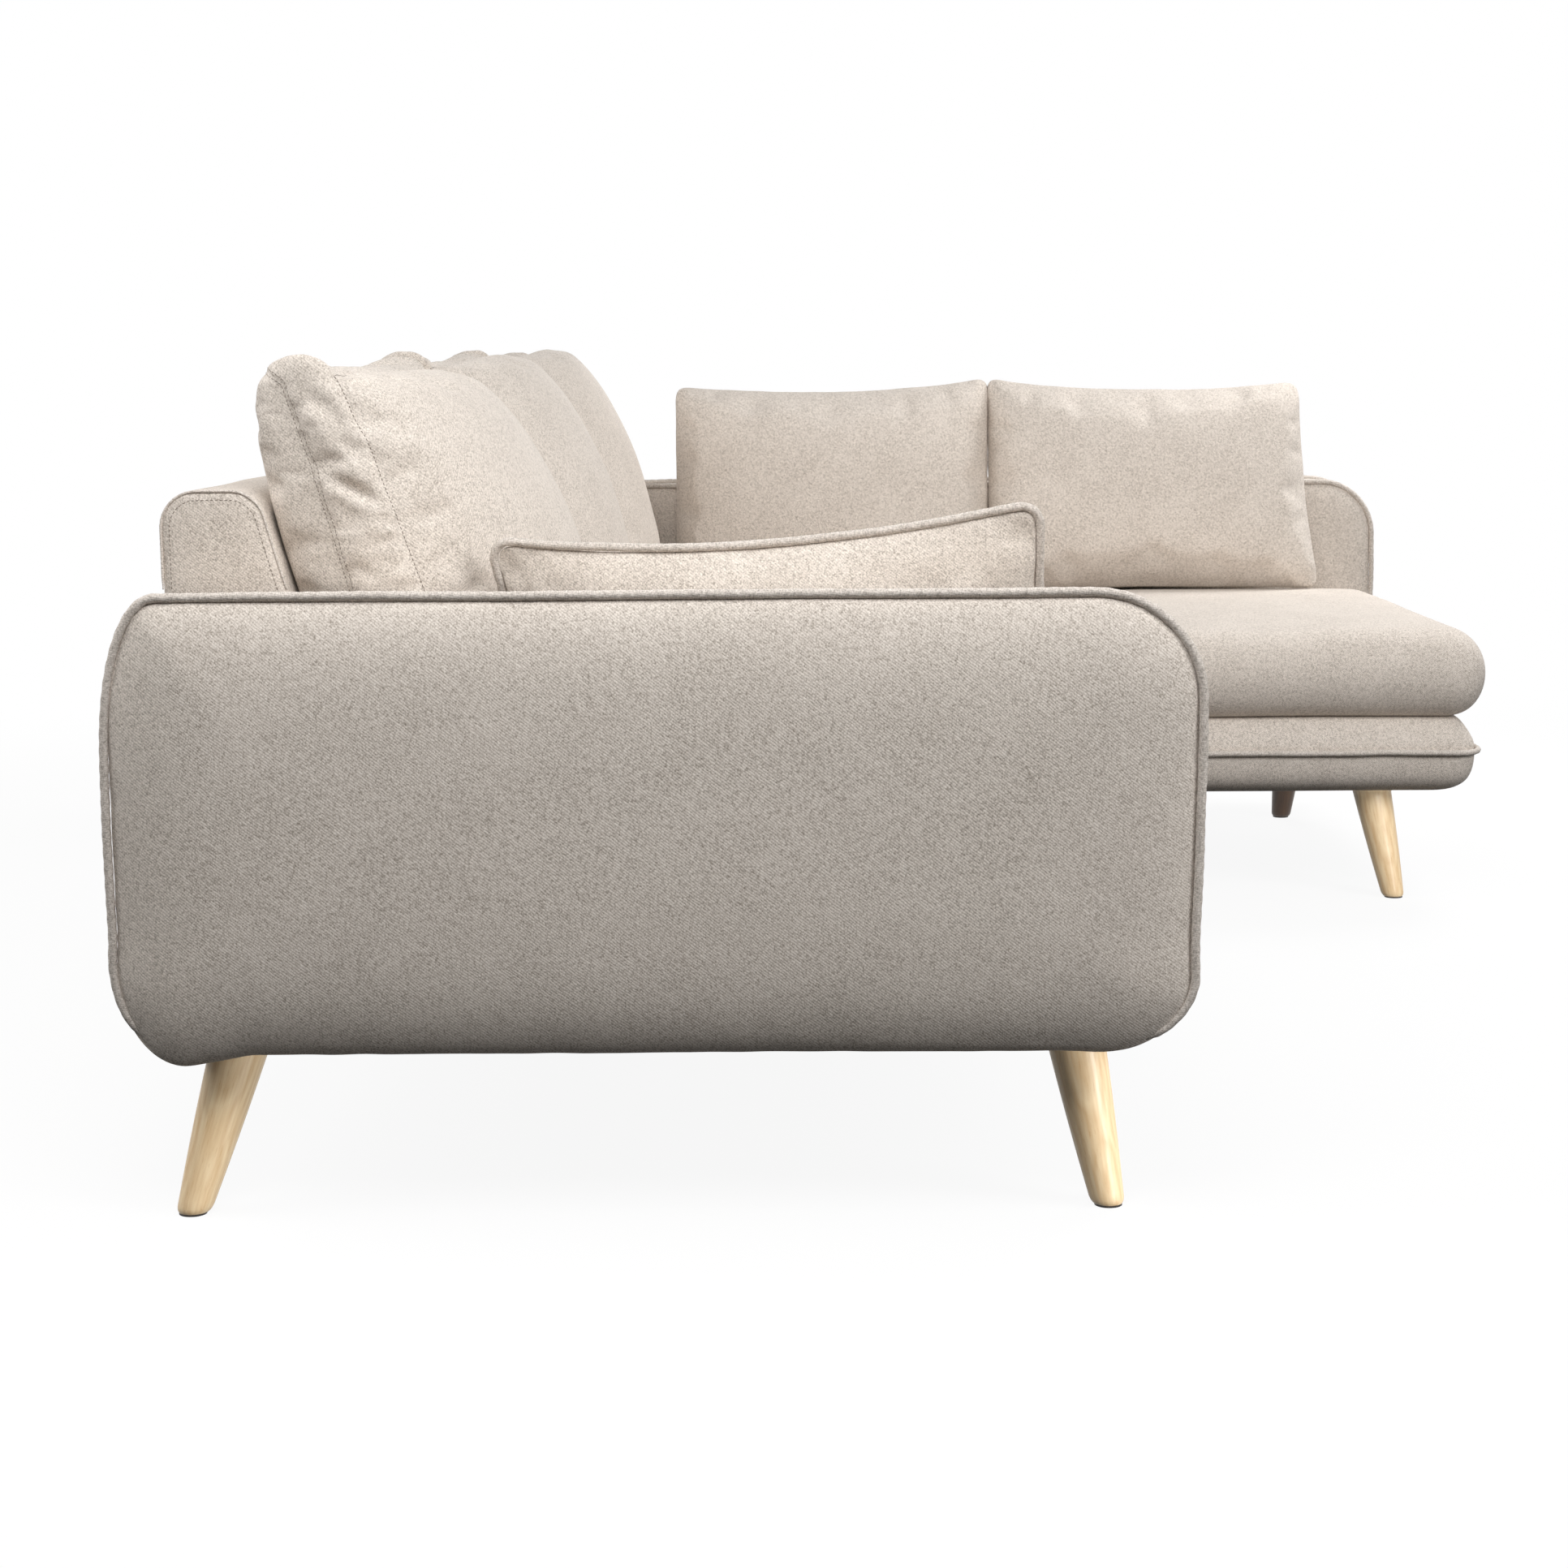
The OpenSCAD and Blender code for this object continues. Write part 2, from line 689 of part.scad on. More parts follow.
// Padding behind and over the back's frame, and the frame's depth
back_pad_rear = 18;
back_pad_top = 70;
back_frame_d = 45;
back_frame_y = y_back - back_pad_rear;
back_frame_z = back_top - back_pad_top;

module back_pad(x0, x1) {
    color(fabric)
        difference() {
            translate([x0, 0, 0])
                rotate([90, 0, 90])
                    linear_extrude(x1 - x0)
                        polygon(back_profile);
            block([x0 + side_skin - gap, back_frame_y - back_frame_d - gap, base_top - past],
                  [x1 - side_skin + gap, back_frame_y + gap, back_frame_z + gap]);
        }
}

module back_frame(x0, x1) {
    lo = [x0 + side_skin, back_frame_y - back_frame_d, back_low];
    hi = [x1 - side_skin, back_frame_y, back_frame_z];
    bays = bay_count(hi[0] - lo[0]);
    step = bay_step(hi[0] - lo[0]);
    color(pine) {
        block(lo, [hi[0], hi[1], lo[2] + board_t]);
        block([lo[0], lo[1], hi[2] - board_t], hi);
        for (i = [0:bays])
            block([lo[0] + i * step, lo[1], lo[2]], [lo[0] + i * step + board_t, hi[1], hi[2]]);
    }
}

back_x0 = x_in + pipe_out;
module run_back_pad() {
    back_pad(back_x0, x_joint - gap);
}

module run_back_frame() {
    back_frame(back_x0, x_joint - gap);
}

module chaise_back_pad() {
    back_pad(x_joint, x_out - gap);
}

module chaise_back_frame() {
    back_frame(x_joint, x_out - gap);
}

// Piping on the near end of the back, from the arm's top over the back and down to the arm again
module back_end_piping() {
    inset = pipe_r + past;
    low = arm_top - pipe_out;
    top = back_top - inset;
    front_top = [back_front(back_top) + inset, top];
    front_low = [back_front(low) + inset, low];
    rear_top = [y_back - inset, top];
    rear_low = [y_back - inset, low];
    path = concat([front_low], fillet(front_low, front_top, rear_top, back_round_front),
                  fillet(front_top, rear_top, rear_low, back_round_rear), [rear_low]);
    color(fabric_dark)
        translate([back_x0 - pipe_lay, 0, 0])
            rotate([90, 0, 90])
                trim(path);
}

// Seat pads: rounded edges, a flat underside and a crowned top
seat_bottom = base_top + gap;
seat_mid = (seat_top - seat_bottom) / 2;
seat_rear = back_front(base_top) - 2 * gap;
seat_tip_set = 3;
run_mid = (x_in + x_joint) / 2;
near_pad = [[x_in + gap, y_arm + seat_set], [run_mid - gap, seat_rear]];
far_pad = [[run_mid, y_arm + seat_set], [x_joint - gap, seat_rear]];
chaise_pad = [[x_joint, y_tip + seat_tip_set], [x_out - gap, seat_rear]];

// Rise of a pad's crown above its edges, over its half widths u and v, and at a place
function crown_rise(u, v) = seat_crown * max(0, 1 - pow(u, 4)) * max(0, 1 - pow(v, 4));
function seat_at(pad, p) =
    let(c = (pad[0] + pad[1]) / 2, h = (pad[1] - pad[0]) / 2 - [seat_mid, seat_mid])
    seat_top + crown_rise((p[0] - c[0]) / h[0], (p[1] - c[1]) / h[1]);

// Seat pad between two corners: its sides bulge from flat sheets that stop short of them
seat_bulge = 0.92 * seat_mid;
seat_lip = 2;
// Share of the bulge that is left at the corners
corner_shrink = 0.72;
function is_rim(u) = abs(u) > 0.999;
module seat_pad(pad, nu, nv) {
    c = (pad[0] + pad[1]) / 2;
    h = (pad[1] - pad[0]) / 2 - [1, 1] * (seat_bulge + seat_lip);
    place = function(u, v, w)
        let(out = sin(180 * w) * seat_bulge + seat_lip,
            corner = is_rim(u) && is_rim(v) ? corner_shrink : 1,
            dx = is_rim(u) ? sign(u) * out * corner : 0,
            dy = is_rim(v) ? sign(v) * out * corner : 0,
            rise = w == 1 ? crown_rise(u, v) : 0)
        [c[0] + u * h[0] + dx,
         c[1] + v * h[1] + dy,
         seat_bottom + (seat_top - seat_bottom) * (1 - cos(180 * w)) / 2 + rise];
    color(fabric)
        stuffed(nu, nv, 6, place);
}

module run_seat_pad_near() {
    seat_pad(near_pad, 8, 8);
}

module run_seat_pad_far() {
    seat_pad(far_pad, 8, 8);
}

module chaise_seat_pad() {
    seat_pad(chaise_pad, 8, 14);
}

// Boxed back cushions, side by side between the arms, each leaning on the back's raked face
back_cushions = 3;
cushion_w = (x_out - x_in) / back_cushions;
cushion_rear_gap = 8;
cushion_rear_swell = 42;
// How far the side panels swell at mid-height, draw in at head and foot, and how far the top panel swells
side_swell = 8;
side_draw = 14;
lid_swell = 15;
// How much higher the front's top seam lies than the rear's
seam_rise = 10;
// Swell of the front over the height t at mid-width: how far it comes forward and how far it is pushed
// up, as shares of the whole swell, and how far the rear comes back as a share of its own
front_share = [[0, 0.34], [0.05, 0.69], [0.15, 0.88], [0.3, 0.91], [0.45, 0.9], [0.6, 0.82], [0.75, 0.68],
             [0.85, 0.49], [0.92, 0.37], [0.96, 0.25], [0.98, 0.14], [1, 0]];
rise_share = [[0, 0], [0.05, 0.01], [0.15, 0.14], [0.3, 0.3], [0.45, 0.4], [0.6, 0.45], [0.75, 0.46],
            [0.85, 0.47], [0.92, 0.4], [0.96, 0.3], [0.98, 0.19], [1, 0]];
rear_share = [[0, 0], [0.04, 0.52], [0.12, 0.81], [0.25, 0.95], [0.5, 1], [0.72, 0.98], [0.85, 0.8],
            [0.94, 0.71], [0.98, 0.52], [1, 0]];
// Share by which each cushion crowns higher than the one before it
plump_share = 0.1;
cushion_foot_y = back_front(seat_top) - cushion_rear_gap - cushion_rear_swell - gusset_low
                 - front_share[0][1] * back_cushion_swell;
cushion_foot_z = seat_at(near_pad, [mean2(near_pad)[0], cushion_foot_y]) + gap;

module back_cushion(i) {
    xc = x_in + cushion_w * (i + 0.5);
    half = cushion_w / 2 - gap - side_swell;
    place = function(u, v, w)
        let(t = (v + 1) / 2,
            z_side = cushion_foot_z + back_cushion_h * t,
            front_bow = pow(max(0, 1 - u * u), 0.5 + 0.5 * (1 - t) * (1 - t)),
            rear_bow = sqrt(max(0, 1 - pow(u, 6))),
            seam_rear = back_front(z_side) - cushion_rear_gap - cushion_rear_swell,
            gusset = gusset_low + (gusset_high - gusset_low) * t,
            rear = seam_rear + cushion_rear_swell * rear_bow * lookup(t, rear_share),
            front = seam_rear - gusset - back_cushion_swell * front_bow * lookup(t, front_share),
            up = w * back_cushion_swell * front_bow * lookup(t, rise_share) * (1 + plump_share * i),
            side = is_rim(u) ? sign(u) * side_swell * sin(180 * w) : 0,
            lid = is_rim(v) && v > 0 ? lid_swell * sin(180 * w) * (0.2 + 0.8 * pow(u, 6)) : 0)
        [xc + u * (half - side_draw * (2 * t - 1) * (2 * t - 1)) + side,
         rear + (front - rear) * w,
         z_side + seam_rise * t * (w - 0.5) + up + lid];
    color(fabric)
        stuffed(12, 8, 4, place);
}

module back_cushion_near() {
    back_cushion(0);
}

module back_cushion_middle() {
    back_cushion(1);
}

module back_cushion_far() {
    back_cushion(2);
}

// Pillow about the origin in the X and Z plane, its front towards -Y
seam_t = 3;
module pillow(w, h, t, draw_w, draw_h, nu, nv) {
    place = function(u, v, k)
        let(swell = sqrt(max(0, (1 - u * u) * (1 - v * v))))
        [w / 2 * u * (1 - draw_w * (1 - v * v)), (0.5 - k) * (seam_t + (t - seam_t) * swell),
         h / 2 * v * (1 - draw_h * (1 - u * u))];
    color(fabric)
        stuffed(nu, nv, 1, place);
}

// Places a pillow that leans to its rear against the long arm, its foot on the seat
pillow_gap = 6;
pillow_x = x_out - gap - pillow_t / 2 * cos(pillow_lean);
module against_long_arm(y) {
    rise = pillow_h / 2 * cos(pillow_lean) + seam_t / 2 * sin(pillow_lean);
    foot_x = pillow_x - pillow_h / 2 * sin(pillow_lean);
    corners = [for (s = [-1, 1]) seat_at(chaise_pad, [foot_x, y + s * pillow_w / 2])];
    translate([pillow_x, y, max(corners) + gap + rise])
        rotate([0, 0, -90])
            rotate([-pillow_lean, 0, 0])
                children();
}

// Middle of the rear pillow, measured from the rear of the arms
pillow_from_rear = 713;
pillow_rear_y = y_rear - pillow_from_rear;
// Shares by which its sides and its long edges draw in at their middles
pillow_draw_w = 0.015;
pillow_draw_h = 0.06;
module chaise_pillow() {
    pillow(pillow_w, pillow_h, pillow_t, pillow_draw_w, pillow_draw_h, 12, 10);
}

module chaise_pillow_rear() {
    against_long_arm(pillow_rear_y)
        chaise_pillow();
}

module chaise_pillow_front() {
    against_long_arm(pillow_rear_y - pillow_w - pillow_gap)
        chaise_pillow();
}

// Lumbar pillow on the inside of the short arm, one end raised
lumbar_turn = 4.5;
lumbar_from_rear = 630;
lumbar_y = y_rear - lumbar_from_rear;
lumbar_draw_w = 0.02;
lumbar_draw_h = 0.12;
lumbar_off = 2;
module against_short_arm() {
    low = lumbar_h / 2 * cos(lumbar_turn) + lumbar_w / 2 * sin(lumbar_turn);
    x = x_in + gap + lumbar_t / 2 * cos(lumbar_lean) + lumbar_off;
    foot = [x + low * sin(lumbar_lean), lumbar_y + lumbar_w / 2];
    translate([x, lumbar_y, seat_at(near_pad, foot) + low * cos(lumbar_lean)])
        rotate([0, 0, 90])
            rotate([-lumbar_lean, 0, 0])
                rotate([0, lumbar_turn, 0])
                    children();
}

lumbar_in_w = lumbar_w - 2 * pipe_out;
lumbar_in_h = lumbar_h - 2 * pipe_out;
module lumbar_pillow() {
    against_short_arm()
        pillow(lumbar_in_w, lumbar_in_h, lumbar_t, lumbar_draw_w, lumbar_draw_h, 14, 8);
}

// Piping round the lumbar pillow's seam, following its drawn-in sides
module lumbar_piping() {
    steps = 12;
    w = lumbar_in_w / 2;
    h = lumbar_in_h / 2;
    edge = [for (s = [0:3]) for (i = [0:steps - 1])
        let(e = 2 * i / steps - 1,
            along_w = e * (w + pipe_lay),
            along_h = e * (h + pipe_lay),
            out_w = w * (1 - lumbar_draw_w * (1 - e * e)) + pipe_lay,
            out_h = h * (1 - lumbar_draw_h * (1 - e * e)) + pipe_lay)
        s == 0 ? [along_w, -out_h]
        : s == 1 ? [out_w, along_h]
        : s == 2 ? [-along_w, out_h]
        : [-out_w, -along_h]];
    color(fabric_dark)
        against_short_arm()
            rotate([90, 0, 0])
                trim(edge, true);
}

short_arm_frame();
long_arm_frame();
run_back_frame();
chaise_back_frame();
run_base_frame();
chaise_base_frame();
run_webbing();
chaise_webbing();
short_arm_pad();
long_arm_pad();
run_back_pad();
chaise_back_pad();
run_base_pad();
chaise_base_pad();
run_seat_pad_near();
run_seat_pad_far();
chaise_seat_pad();
short_arm_outer_piping();
short_arm_inner_piping();
long_arm_outer_piping();
long_arm_inner_piping();
back_end_piping();
run_base_piping();
chaise_base_piping();
back_cushion_near();
back_cushion_middle();
back_cushion_far();
chaise_pillow_rear();
chaise_pillow_front();
lumbar_pillow();
lumbar_piping();
leg(0);  // short_arm_front_leg
leg(1);  // short_arm_rear_leg
leg(2);  // run_front_leg
leg(3);  // run_rear_leg
leg(4);  // chaise_front_leg
leg(5);  // chaise_rear_leg
leg(6);  // long_arm_front_leg
leg(7);  // long_arm_rear_leg
leg_plates();
leg_bolts();
leg_glides();
arm_bolts();
unit_connectors();
run_dust_cover();
chaise_dust_cover();
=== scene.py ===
"""Looks of a corner sofa: a run with a short arm, and a chaise closed by a long arm.

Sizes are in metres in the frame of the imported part: X along the run, Y to the back, Z up.
"""
import json
import logging
import math
from collections.abc import Callable, Sequence
from dataclasses import dataclass, field
from enum import Enum
from typing import Any

import bpy
import numpy as np
from mathutils import Matrix, Vector, noise
from mathutils.bvhtree import BVHTree


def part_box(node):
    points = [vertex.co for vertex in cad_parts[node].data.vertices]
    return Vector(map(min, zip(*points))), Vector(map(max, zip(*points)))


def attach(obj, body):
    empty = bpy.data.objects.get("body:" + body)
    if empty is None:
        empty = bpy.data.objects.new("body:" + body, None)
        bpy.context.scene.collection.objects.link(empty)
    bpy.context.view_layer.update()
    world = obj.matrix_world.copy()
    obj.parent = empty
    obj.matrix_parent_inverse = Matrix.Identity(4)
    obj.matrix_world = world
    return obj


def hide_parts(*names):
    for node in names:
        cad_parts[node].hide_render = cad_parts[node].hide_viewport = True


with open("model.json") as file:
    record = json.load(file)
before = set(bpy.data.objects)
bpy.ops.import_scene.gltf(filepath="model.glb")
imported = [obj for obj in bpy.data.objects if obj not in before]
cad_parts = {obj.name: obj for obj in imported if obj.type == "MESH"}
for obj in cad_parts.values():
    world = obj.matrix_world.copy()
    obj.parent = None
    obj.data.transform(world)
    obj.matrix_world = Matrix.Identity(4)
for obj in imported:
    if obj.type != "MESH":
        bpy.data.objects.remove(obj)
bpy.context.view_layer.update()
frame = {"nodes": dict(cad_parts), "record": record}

log = logging.getLogger("sofa")

Points = np.ndarray
Pair = tuple[float, float]
Colour = tuple[float, float, float]
Rule = Callable[[Points, Points, Points], Points]


class Slot(Enum):
    """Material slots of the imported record."""

    COVER = "cover_fabric"
    PIPING = "piping"
    OAK = "leg_oak"
    PINE = "frame_pine"
    STEEL = "steel"
    WEBBING = "webbing"
    DUST = "dust_cloth"
    GLIDE = "glide"


class Plane(Enum):
    """Planes that a flat outline is drawn in, as the two axes that it uses and the one it faces."""

    YZ = (1, 2, 0)
    XY = (0, 1, 2)
    XZ = (0, 2, 1)


def srgb(red: float, green: float, blue: float) -> tuple[float, float, float, float]:
    """Turns display values into a linear colour.

    Args:
        red: red from 0 to 255.
        green: green from 0 to 255.
        blue: blue from 0 to 255.

    Returns:
        Linear red, green and blue, with full alpha.
    """
    shares = [value / 255 for value in (red, green, blue)]
    linear = [s / 12.92 if s <= 0.04045 else ((s + 0.055) / 1.055) ** 2.4 for s in shares]
    return (*linear, 1.0)


# Shader maths


class Field:
    """A socket's value in a material, with arithmetic that adds Math nodes."""

    def __init__(self, tree: "Tree", socket: bpy.types.NodeSocket) -> None:
        """Wraps an output socket of the tree."""
        self.tree = tree
        self.socket = socket

    def _math(self, operation: str, first: Any, second: Any = 0.0) -> "Field":
        """Adds one Math node on two values."""
        return self.tree.node("ShaderNodeMath", {"operation": operation}, {0: first, 1: second})

    def __add__(self, other: Any) -> "Field":
        """Sum."""
        return self._math("ADD", self, other)

    def __radd__(self, other: Any) -> "Field":
        """Sum with a number on the left."""
        return self._math("ADD", other, self)

    def __sub__(self, other: Any) -> "Field":
        """Difference."""
        return self._math("SUBTRACT", self, other)

    def __rsub__(self, other: Any) -> "Field":
        """Difference from a number on the left."""
        return self._math("SUBTRACT", other, self)

    def __mul__(self, other: Any) -> "Field":
        """Product."""
        return self._math("MULTIPLY", self, other)

    def __rmul__(self, other: Any) -> "Field":
        """Product with a number on the left."""
        return self._math("MULTIPLY", other, self)

    def __truediv__(self, other: Any) -> "Field":
        """Quotient."""
        return self._math("DIVIDE", self, other)

    def __gt__(self, other: Any) -> "Field":
        """One where this is the greater, else zero."""
        return self._math("GREATER_THAN", self, other)

    def __abs__(self) -> "Field":
        """Absolute value."""
        return self._math("ABSOLUTE", self)

    def floor(self) -> "Field":
        """Whole part."""
        return self._math("FLOOR", self)

    def parts(self) -> tuple["Field", "Field", "Field"]:
        """Splits a vector into its three values."""
        split = self.tree.raw("ShaderNodeSeparateXYZ", {}, {"Vector": self})
        return tuple(Field(self.tree, split.outputs[k]) for k in range(3))


class Tree:
    """Node tree of one material, or of a world."""

    def __init__(self, name: str, world: bool = False) -> None:
        """Makes an empty material or world.

        Args:
            name: its name.
            world: whether it is a world.
        """
        self.owner = bpy.data.worlds.new(name) if world else bpy.data.materials.new(name)
        self.owner.use_nodes = True
        self.nodes = self.owner.node_tree.nodes
        self.links = self.owner.node_tree.links
        self.nodes.clear()

    def raw(self, kind: str, settings: dict[str, Any], inputs: dict[Any, Any]) -> bpy.types.Node:
        """Adds a node, sets it up, then fills its sockets.

        Args:
            kind: the node's type.
            settings: its properties, with "stops" for the stops of a ramp.
            inputs: values or fields by the socket's number, name or identifier.

        Returns:
            The new node.
        """
        made = self.nodes.new(kind)
        for key, value in settings.items():
            if key == "stops":
                self._set_stops(made.color_ramp, value)
            else:
                setattr(made, key, value)
        for key, value in inputs.items():
            socket = self._find(made, key)
            if isinstance(value, Field):
                self.links.new(value.socket, socket)
            else:
                socket.default_value = value
        return made

    def node(self, kind: str, settings: dict[str, Any], inputs: dict[Any, Any], output: Any = 0) -> Field:
        """Adds a node and wraps one of its outputs.

        Args:
            kind: the node's type.
            settings: its properties.
            inputs: values or fields of its sockets.
            output: number or name of the output that is wanted.

        Returns:
            The output as a field.
        """
        made = self.raw(kind, settings, inputs)
        if isinstance(output, int):
            return Field(self, made.outputs[output])
        return Field(self, next(s for s in made.outputs if output in (s.identifier, s.name)))

    def place(self) -> Field:
        """Place in the piece's own frame."""
        return self.node("ShaderNodeTexCoord", {}, {}, "Object")

    def noise(self, place: Field, scale: float, detail: float) -> Field:
        """Smooth noise from 0 to 1 over a place, with finer layers by its detail."""
        inputs = {"Vector": place, "Scale": scale, "Detail": detail}
        return self.node("ShaderNodeTexNoise", {}, inputs, "Fac")

    def ramp(self, share: Field, places: Sequence[float], colours: Sequence[Colour]) -> Field:
        """Colours a share.

        Args:
            share: what is coloured.
            places: shares at which the colours stand.
            colours: display values of these colours.

        Returns:
            The colour between them.
        """
        stops = [(place, srgb(*colour)) for place, colour in zip(places, colours)]
        return self.node("ShaderNodeValToRGB", {"stops": stops}, {"Fac": share}, "Color")

    def mix(self, share: Any, low: Any, high: Any) -> Field:
        """Blends two colours.

        Args:
            share: share of the second colour.
            low: colour at a share of 0.
            high: colour at a share of 1.

        Returns:
            The blended colour.
        """
        inputs = {"Factor_Float": share, "A_Color": low, "B_Color": high}
        return self.node("ShaderNodeMix", {"data_type": "RGBA"}, inputs, "Result_Color")

    def vector(self, x: Any, y: Any, z: Any) -> Field:
        """Joins three values into a vector."""
        return self.node("ShaderNodeCombineXYZ", {}, {"X": x, "Y": y, "Z": z})

    def bump(self, height: Field, distance: float, strength: float) -> Field:
        """Turns a height into a bumped normal."""
        inputs = {"Height": height, "Distance": distance, "Strength": strength}
        return self.node("ShaderNodeBump", {}, inputs, "Normal")

    def surface(self, inputs: dict[str, Any]) -> bpy.types.Material:
        """Closes the tree with a Principled shader.

        Args:
            inputs: values or fields of the shader's sockets.

        Returns:
            The finished material.
        """
        shader = self.node("ShaderNodeBsdfPrincipled", {}, inputs)
        self.raw("ShaderNodeOutputMaterial", {}, {"Surface": shader})
        return self.owner

    @staticmethod
    def _find(made: bpy.types.Node, key: Any) -> bpy.types.NodeSocket:
        """Finds an input socket.

        Args:
            made: the node.
            key: number, identifier or name of the socket.

        Returns:
            The socket.
        """
        if isinstance(key, int):
            return made.inputs[key]
        return next(s for s in made.inputs if key in (s.identifier, s.name))

    @staticmethod
    def _set_stops(ramp: bpy.types.ColorRamp, stops: Sequence[tuple[float, tuple]]) -> None:
        """Gives a ramp exactly these stops.

        Args:
            ramp: the ramp.
            stops: a place and a colour for each stop, from the lowest place.
        """
        while len(ramp.elements) < len(stops):
            ramp.elements.new(0.5)
        for element, (place, colour) in zip(ramp.elements, stops):
            element.position = place
            element.color = colour


@dataclass(frozen=True)
class Twill:
    """Woven cover: diagonal yarns of mixed tones, with flecks, mottling and slow clouds over them.

    A fleck, the mottling and a cloud each hold their scale, their detail and their weight in the mix.
    """

    name: str
    pitch: float = 0.0024
    float_length: float = 0.0030
    slope: float = 38.0
    dark: Colour = (160, 150, 139)
    middle: Colour = (220, 210, 200)
    light: Colour = (245, 236, 226)
    stops: tuple[float, float, float] = (0.14, 0.48, 0.82)
    sway: float = 0.9
    sway_scale: float = 55.0
    yarn_weight: float = 0.18
    fleck: tuple[float, float, float] = (620.0, 2.5, 1.30)
    mottle: tuple[float, float, float] = (330.0, 2.0, 0.30)
    cloud: tuple[float, float, float] = (14.0, 3.0, 0.16)
    offset: float = 0.49
    gap_shade: float = 0.30
    relief: float = 0.00032
    relief_strength: float = 0.55
    ridge_share: float = 0.6
    roughness: Pair = (0.82, 0.12)
    gloss: float = 0.22
    sheen: Pair = (0.12, 0.5)

    def build(self) -> bpy.types.Material:
        """Makes the material.

        Returns:
            The cloth's material.
        """
        tree = Tree(self.name)
        place = tree.place()
        facing = tree.node("ShaderNodeTexCoord", {}, {}, "Normal")
        x, y, z = place.parts()
        nx, ny, nz = (abs(part) for part in facing.parts())
        faces_x = (nx > ny) * (nx > nz)
        faces_y = (1 - faces_x) * (ny > nz)
        across = y * faces_x + x * (1 - faces_x)
        upward = z * (faces_x + faces_y) + y * (1 - faces_x - faces_y)
        turn = math.radians(self.slope)
        over = (across * math.sin(turn) - upward * math.cos(turn)) / self.pitch
        along = (across * math.cos(turn) + upward * math.sin(turn)) / self.float_length
        over = over + tree.noise(place, self.sway_scale, 1.0) * self.sway
        line = over.floor()
        inside = over - line
        ridge = 4 * inside * (1 - inside)
        start = tree.node("ShaderNodeTexWhiteNoise", {"noise_dimensions": "1D"}, {"W": line}, "Value")
        piece = (along + start).floor()
        tone = tree.node("ShaderNodeTexWhiteNoise", {"noise_dimensions": "3D"},
                         {"Vector": tree.vector(line, piece, faces_x + 2 * faces_y)}, "Value")
        mixed = tone * self.yarn_weight
        for scale, detail, weight in (self.fleck, self.mottle, self.cloud):
            mixed = mixed + tree.noise(place, scale, detail) * weight
        yarn = tree.ramp(mixed - self.offset, self.stops, (self.dark, self.middle, self.light))
        shade = tree.mix(self.gap_shade * (1 - ridge), yarn, srgb(*self.dark))
        height = ridge * self.ridge_share + tone * (1 - self.ridge_share)
        least, more = self.roughness
        weight, spread = self.sheen
        return tree.surface({"Base Color": shade, "Roughness": least + more * tone,
                             "Normal": tree.bump(height, self.relief, self.relief_strength),
                             "Specular IOR Level": self.gloss, "Sheen Weight": weight,
                             "Sheen Roughness": spread})


@dataclass(frozen=True)
class Oak:
    """Pale satin wood whose grain follows a leg's own length."""

    name: str
    pale: Colour = (249, 224, 183)
    deep: Colour = (218, 181, 132)
    stops: Pair = (0.28, 0.80)
    grain_pitch: float = 0.0035
    ring_pitch: float = 0.00625
    pore_level: float = 0.68
    figure_weight: float = 0.75
    ring_weight: float = 0.22
    pore_weight: float = 0.16
    roughness: Pair = (0.36, 0.16)
    relief: float = 0.0002
    coat: Pair = (0.12, 0.3)

    def build(self) -> bpy.types.Material:
        """Makes the material.

        Returns:
            The wood's material.
        """
        tree = Tree(self.name)
        place = tree.node("ShaderNodeAttribute", {"attribute_name": "grain"}, {}, "Vector")
        x, y, z = place.parts()
        warp = tree.noise(place, 9.0, 2.0)
        stretched = tree.vector(x / self.grain_pitch, y / self.grain_pitch, z * 9 + warp * 1.5)
        figure = tree.noise(stretched, 1.0, 4.0)
        rings = x / self.ring_pitch + warp * 5 + z * 6
        bands = abs((rings - rings.floor()) * 2 - 1)
        pores = tree.noise(tree.vector(x * 900, y * 900, z * 40), 1.0, 1.0) > self.pore_level
        share = figure * self.figure_weight + bands * self.ring_weight + pores * self.pore_weight
        least, more = self.roughness
        weight, spread = self.coat
        return tree.surface({"Base Color": tree.ramp(share, self.stops, (self.pale, self.deep)),
                             "Roughness": least + more * figure,
                             "Normal": tree.bump(figure, self.relief, 0.4),
                             "Coat Weight": weight, "Coat Roughness": spread})


@dataclass(frozen=True)
class Pine:
    """Raw sawn timber of the frames, with its grain along X."""

    name: str
    pale: Colour = (226, 196, 148)
    deep: Colour = (178, 132, 82)
    stops: Pair = (0.3, 0.75)
    stretch: tuple[float, float, float] = (6, 120, 120)
    relief: float = 0.0006

    def build(self) -> bpy.types.Material:
        """Makes the material.

        Returns:
            The timber's material.
        """
        tree = Tree(self.name)
        parts = (part * scale for part, scale in zip(tree.place().parts(), self.stretch))
        grain = tree.noise(tree.vector(*parts), 1.0, 4.0)
        return tree.surface({"Base Color": tree.ramp(grain, self.stops, (self.pale, self.deep)),
                             "Roughness": 0.6 + 0.2 * grain,
                             "Normal": tree.bump(grain, self.relief, 0.6)})


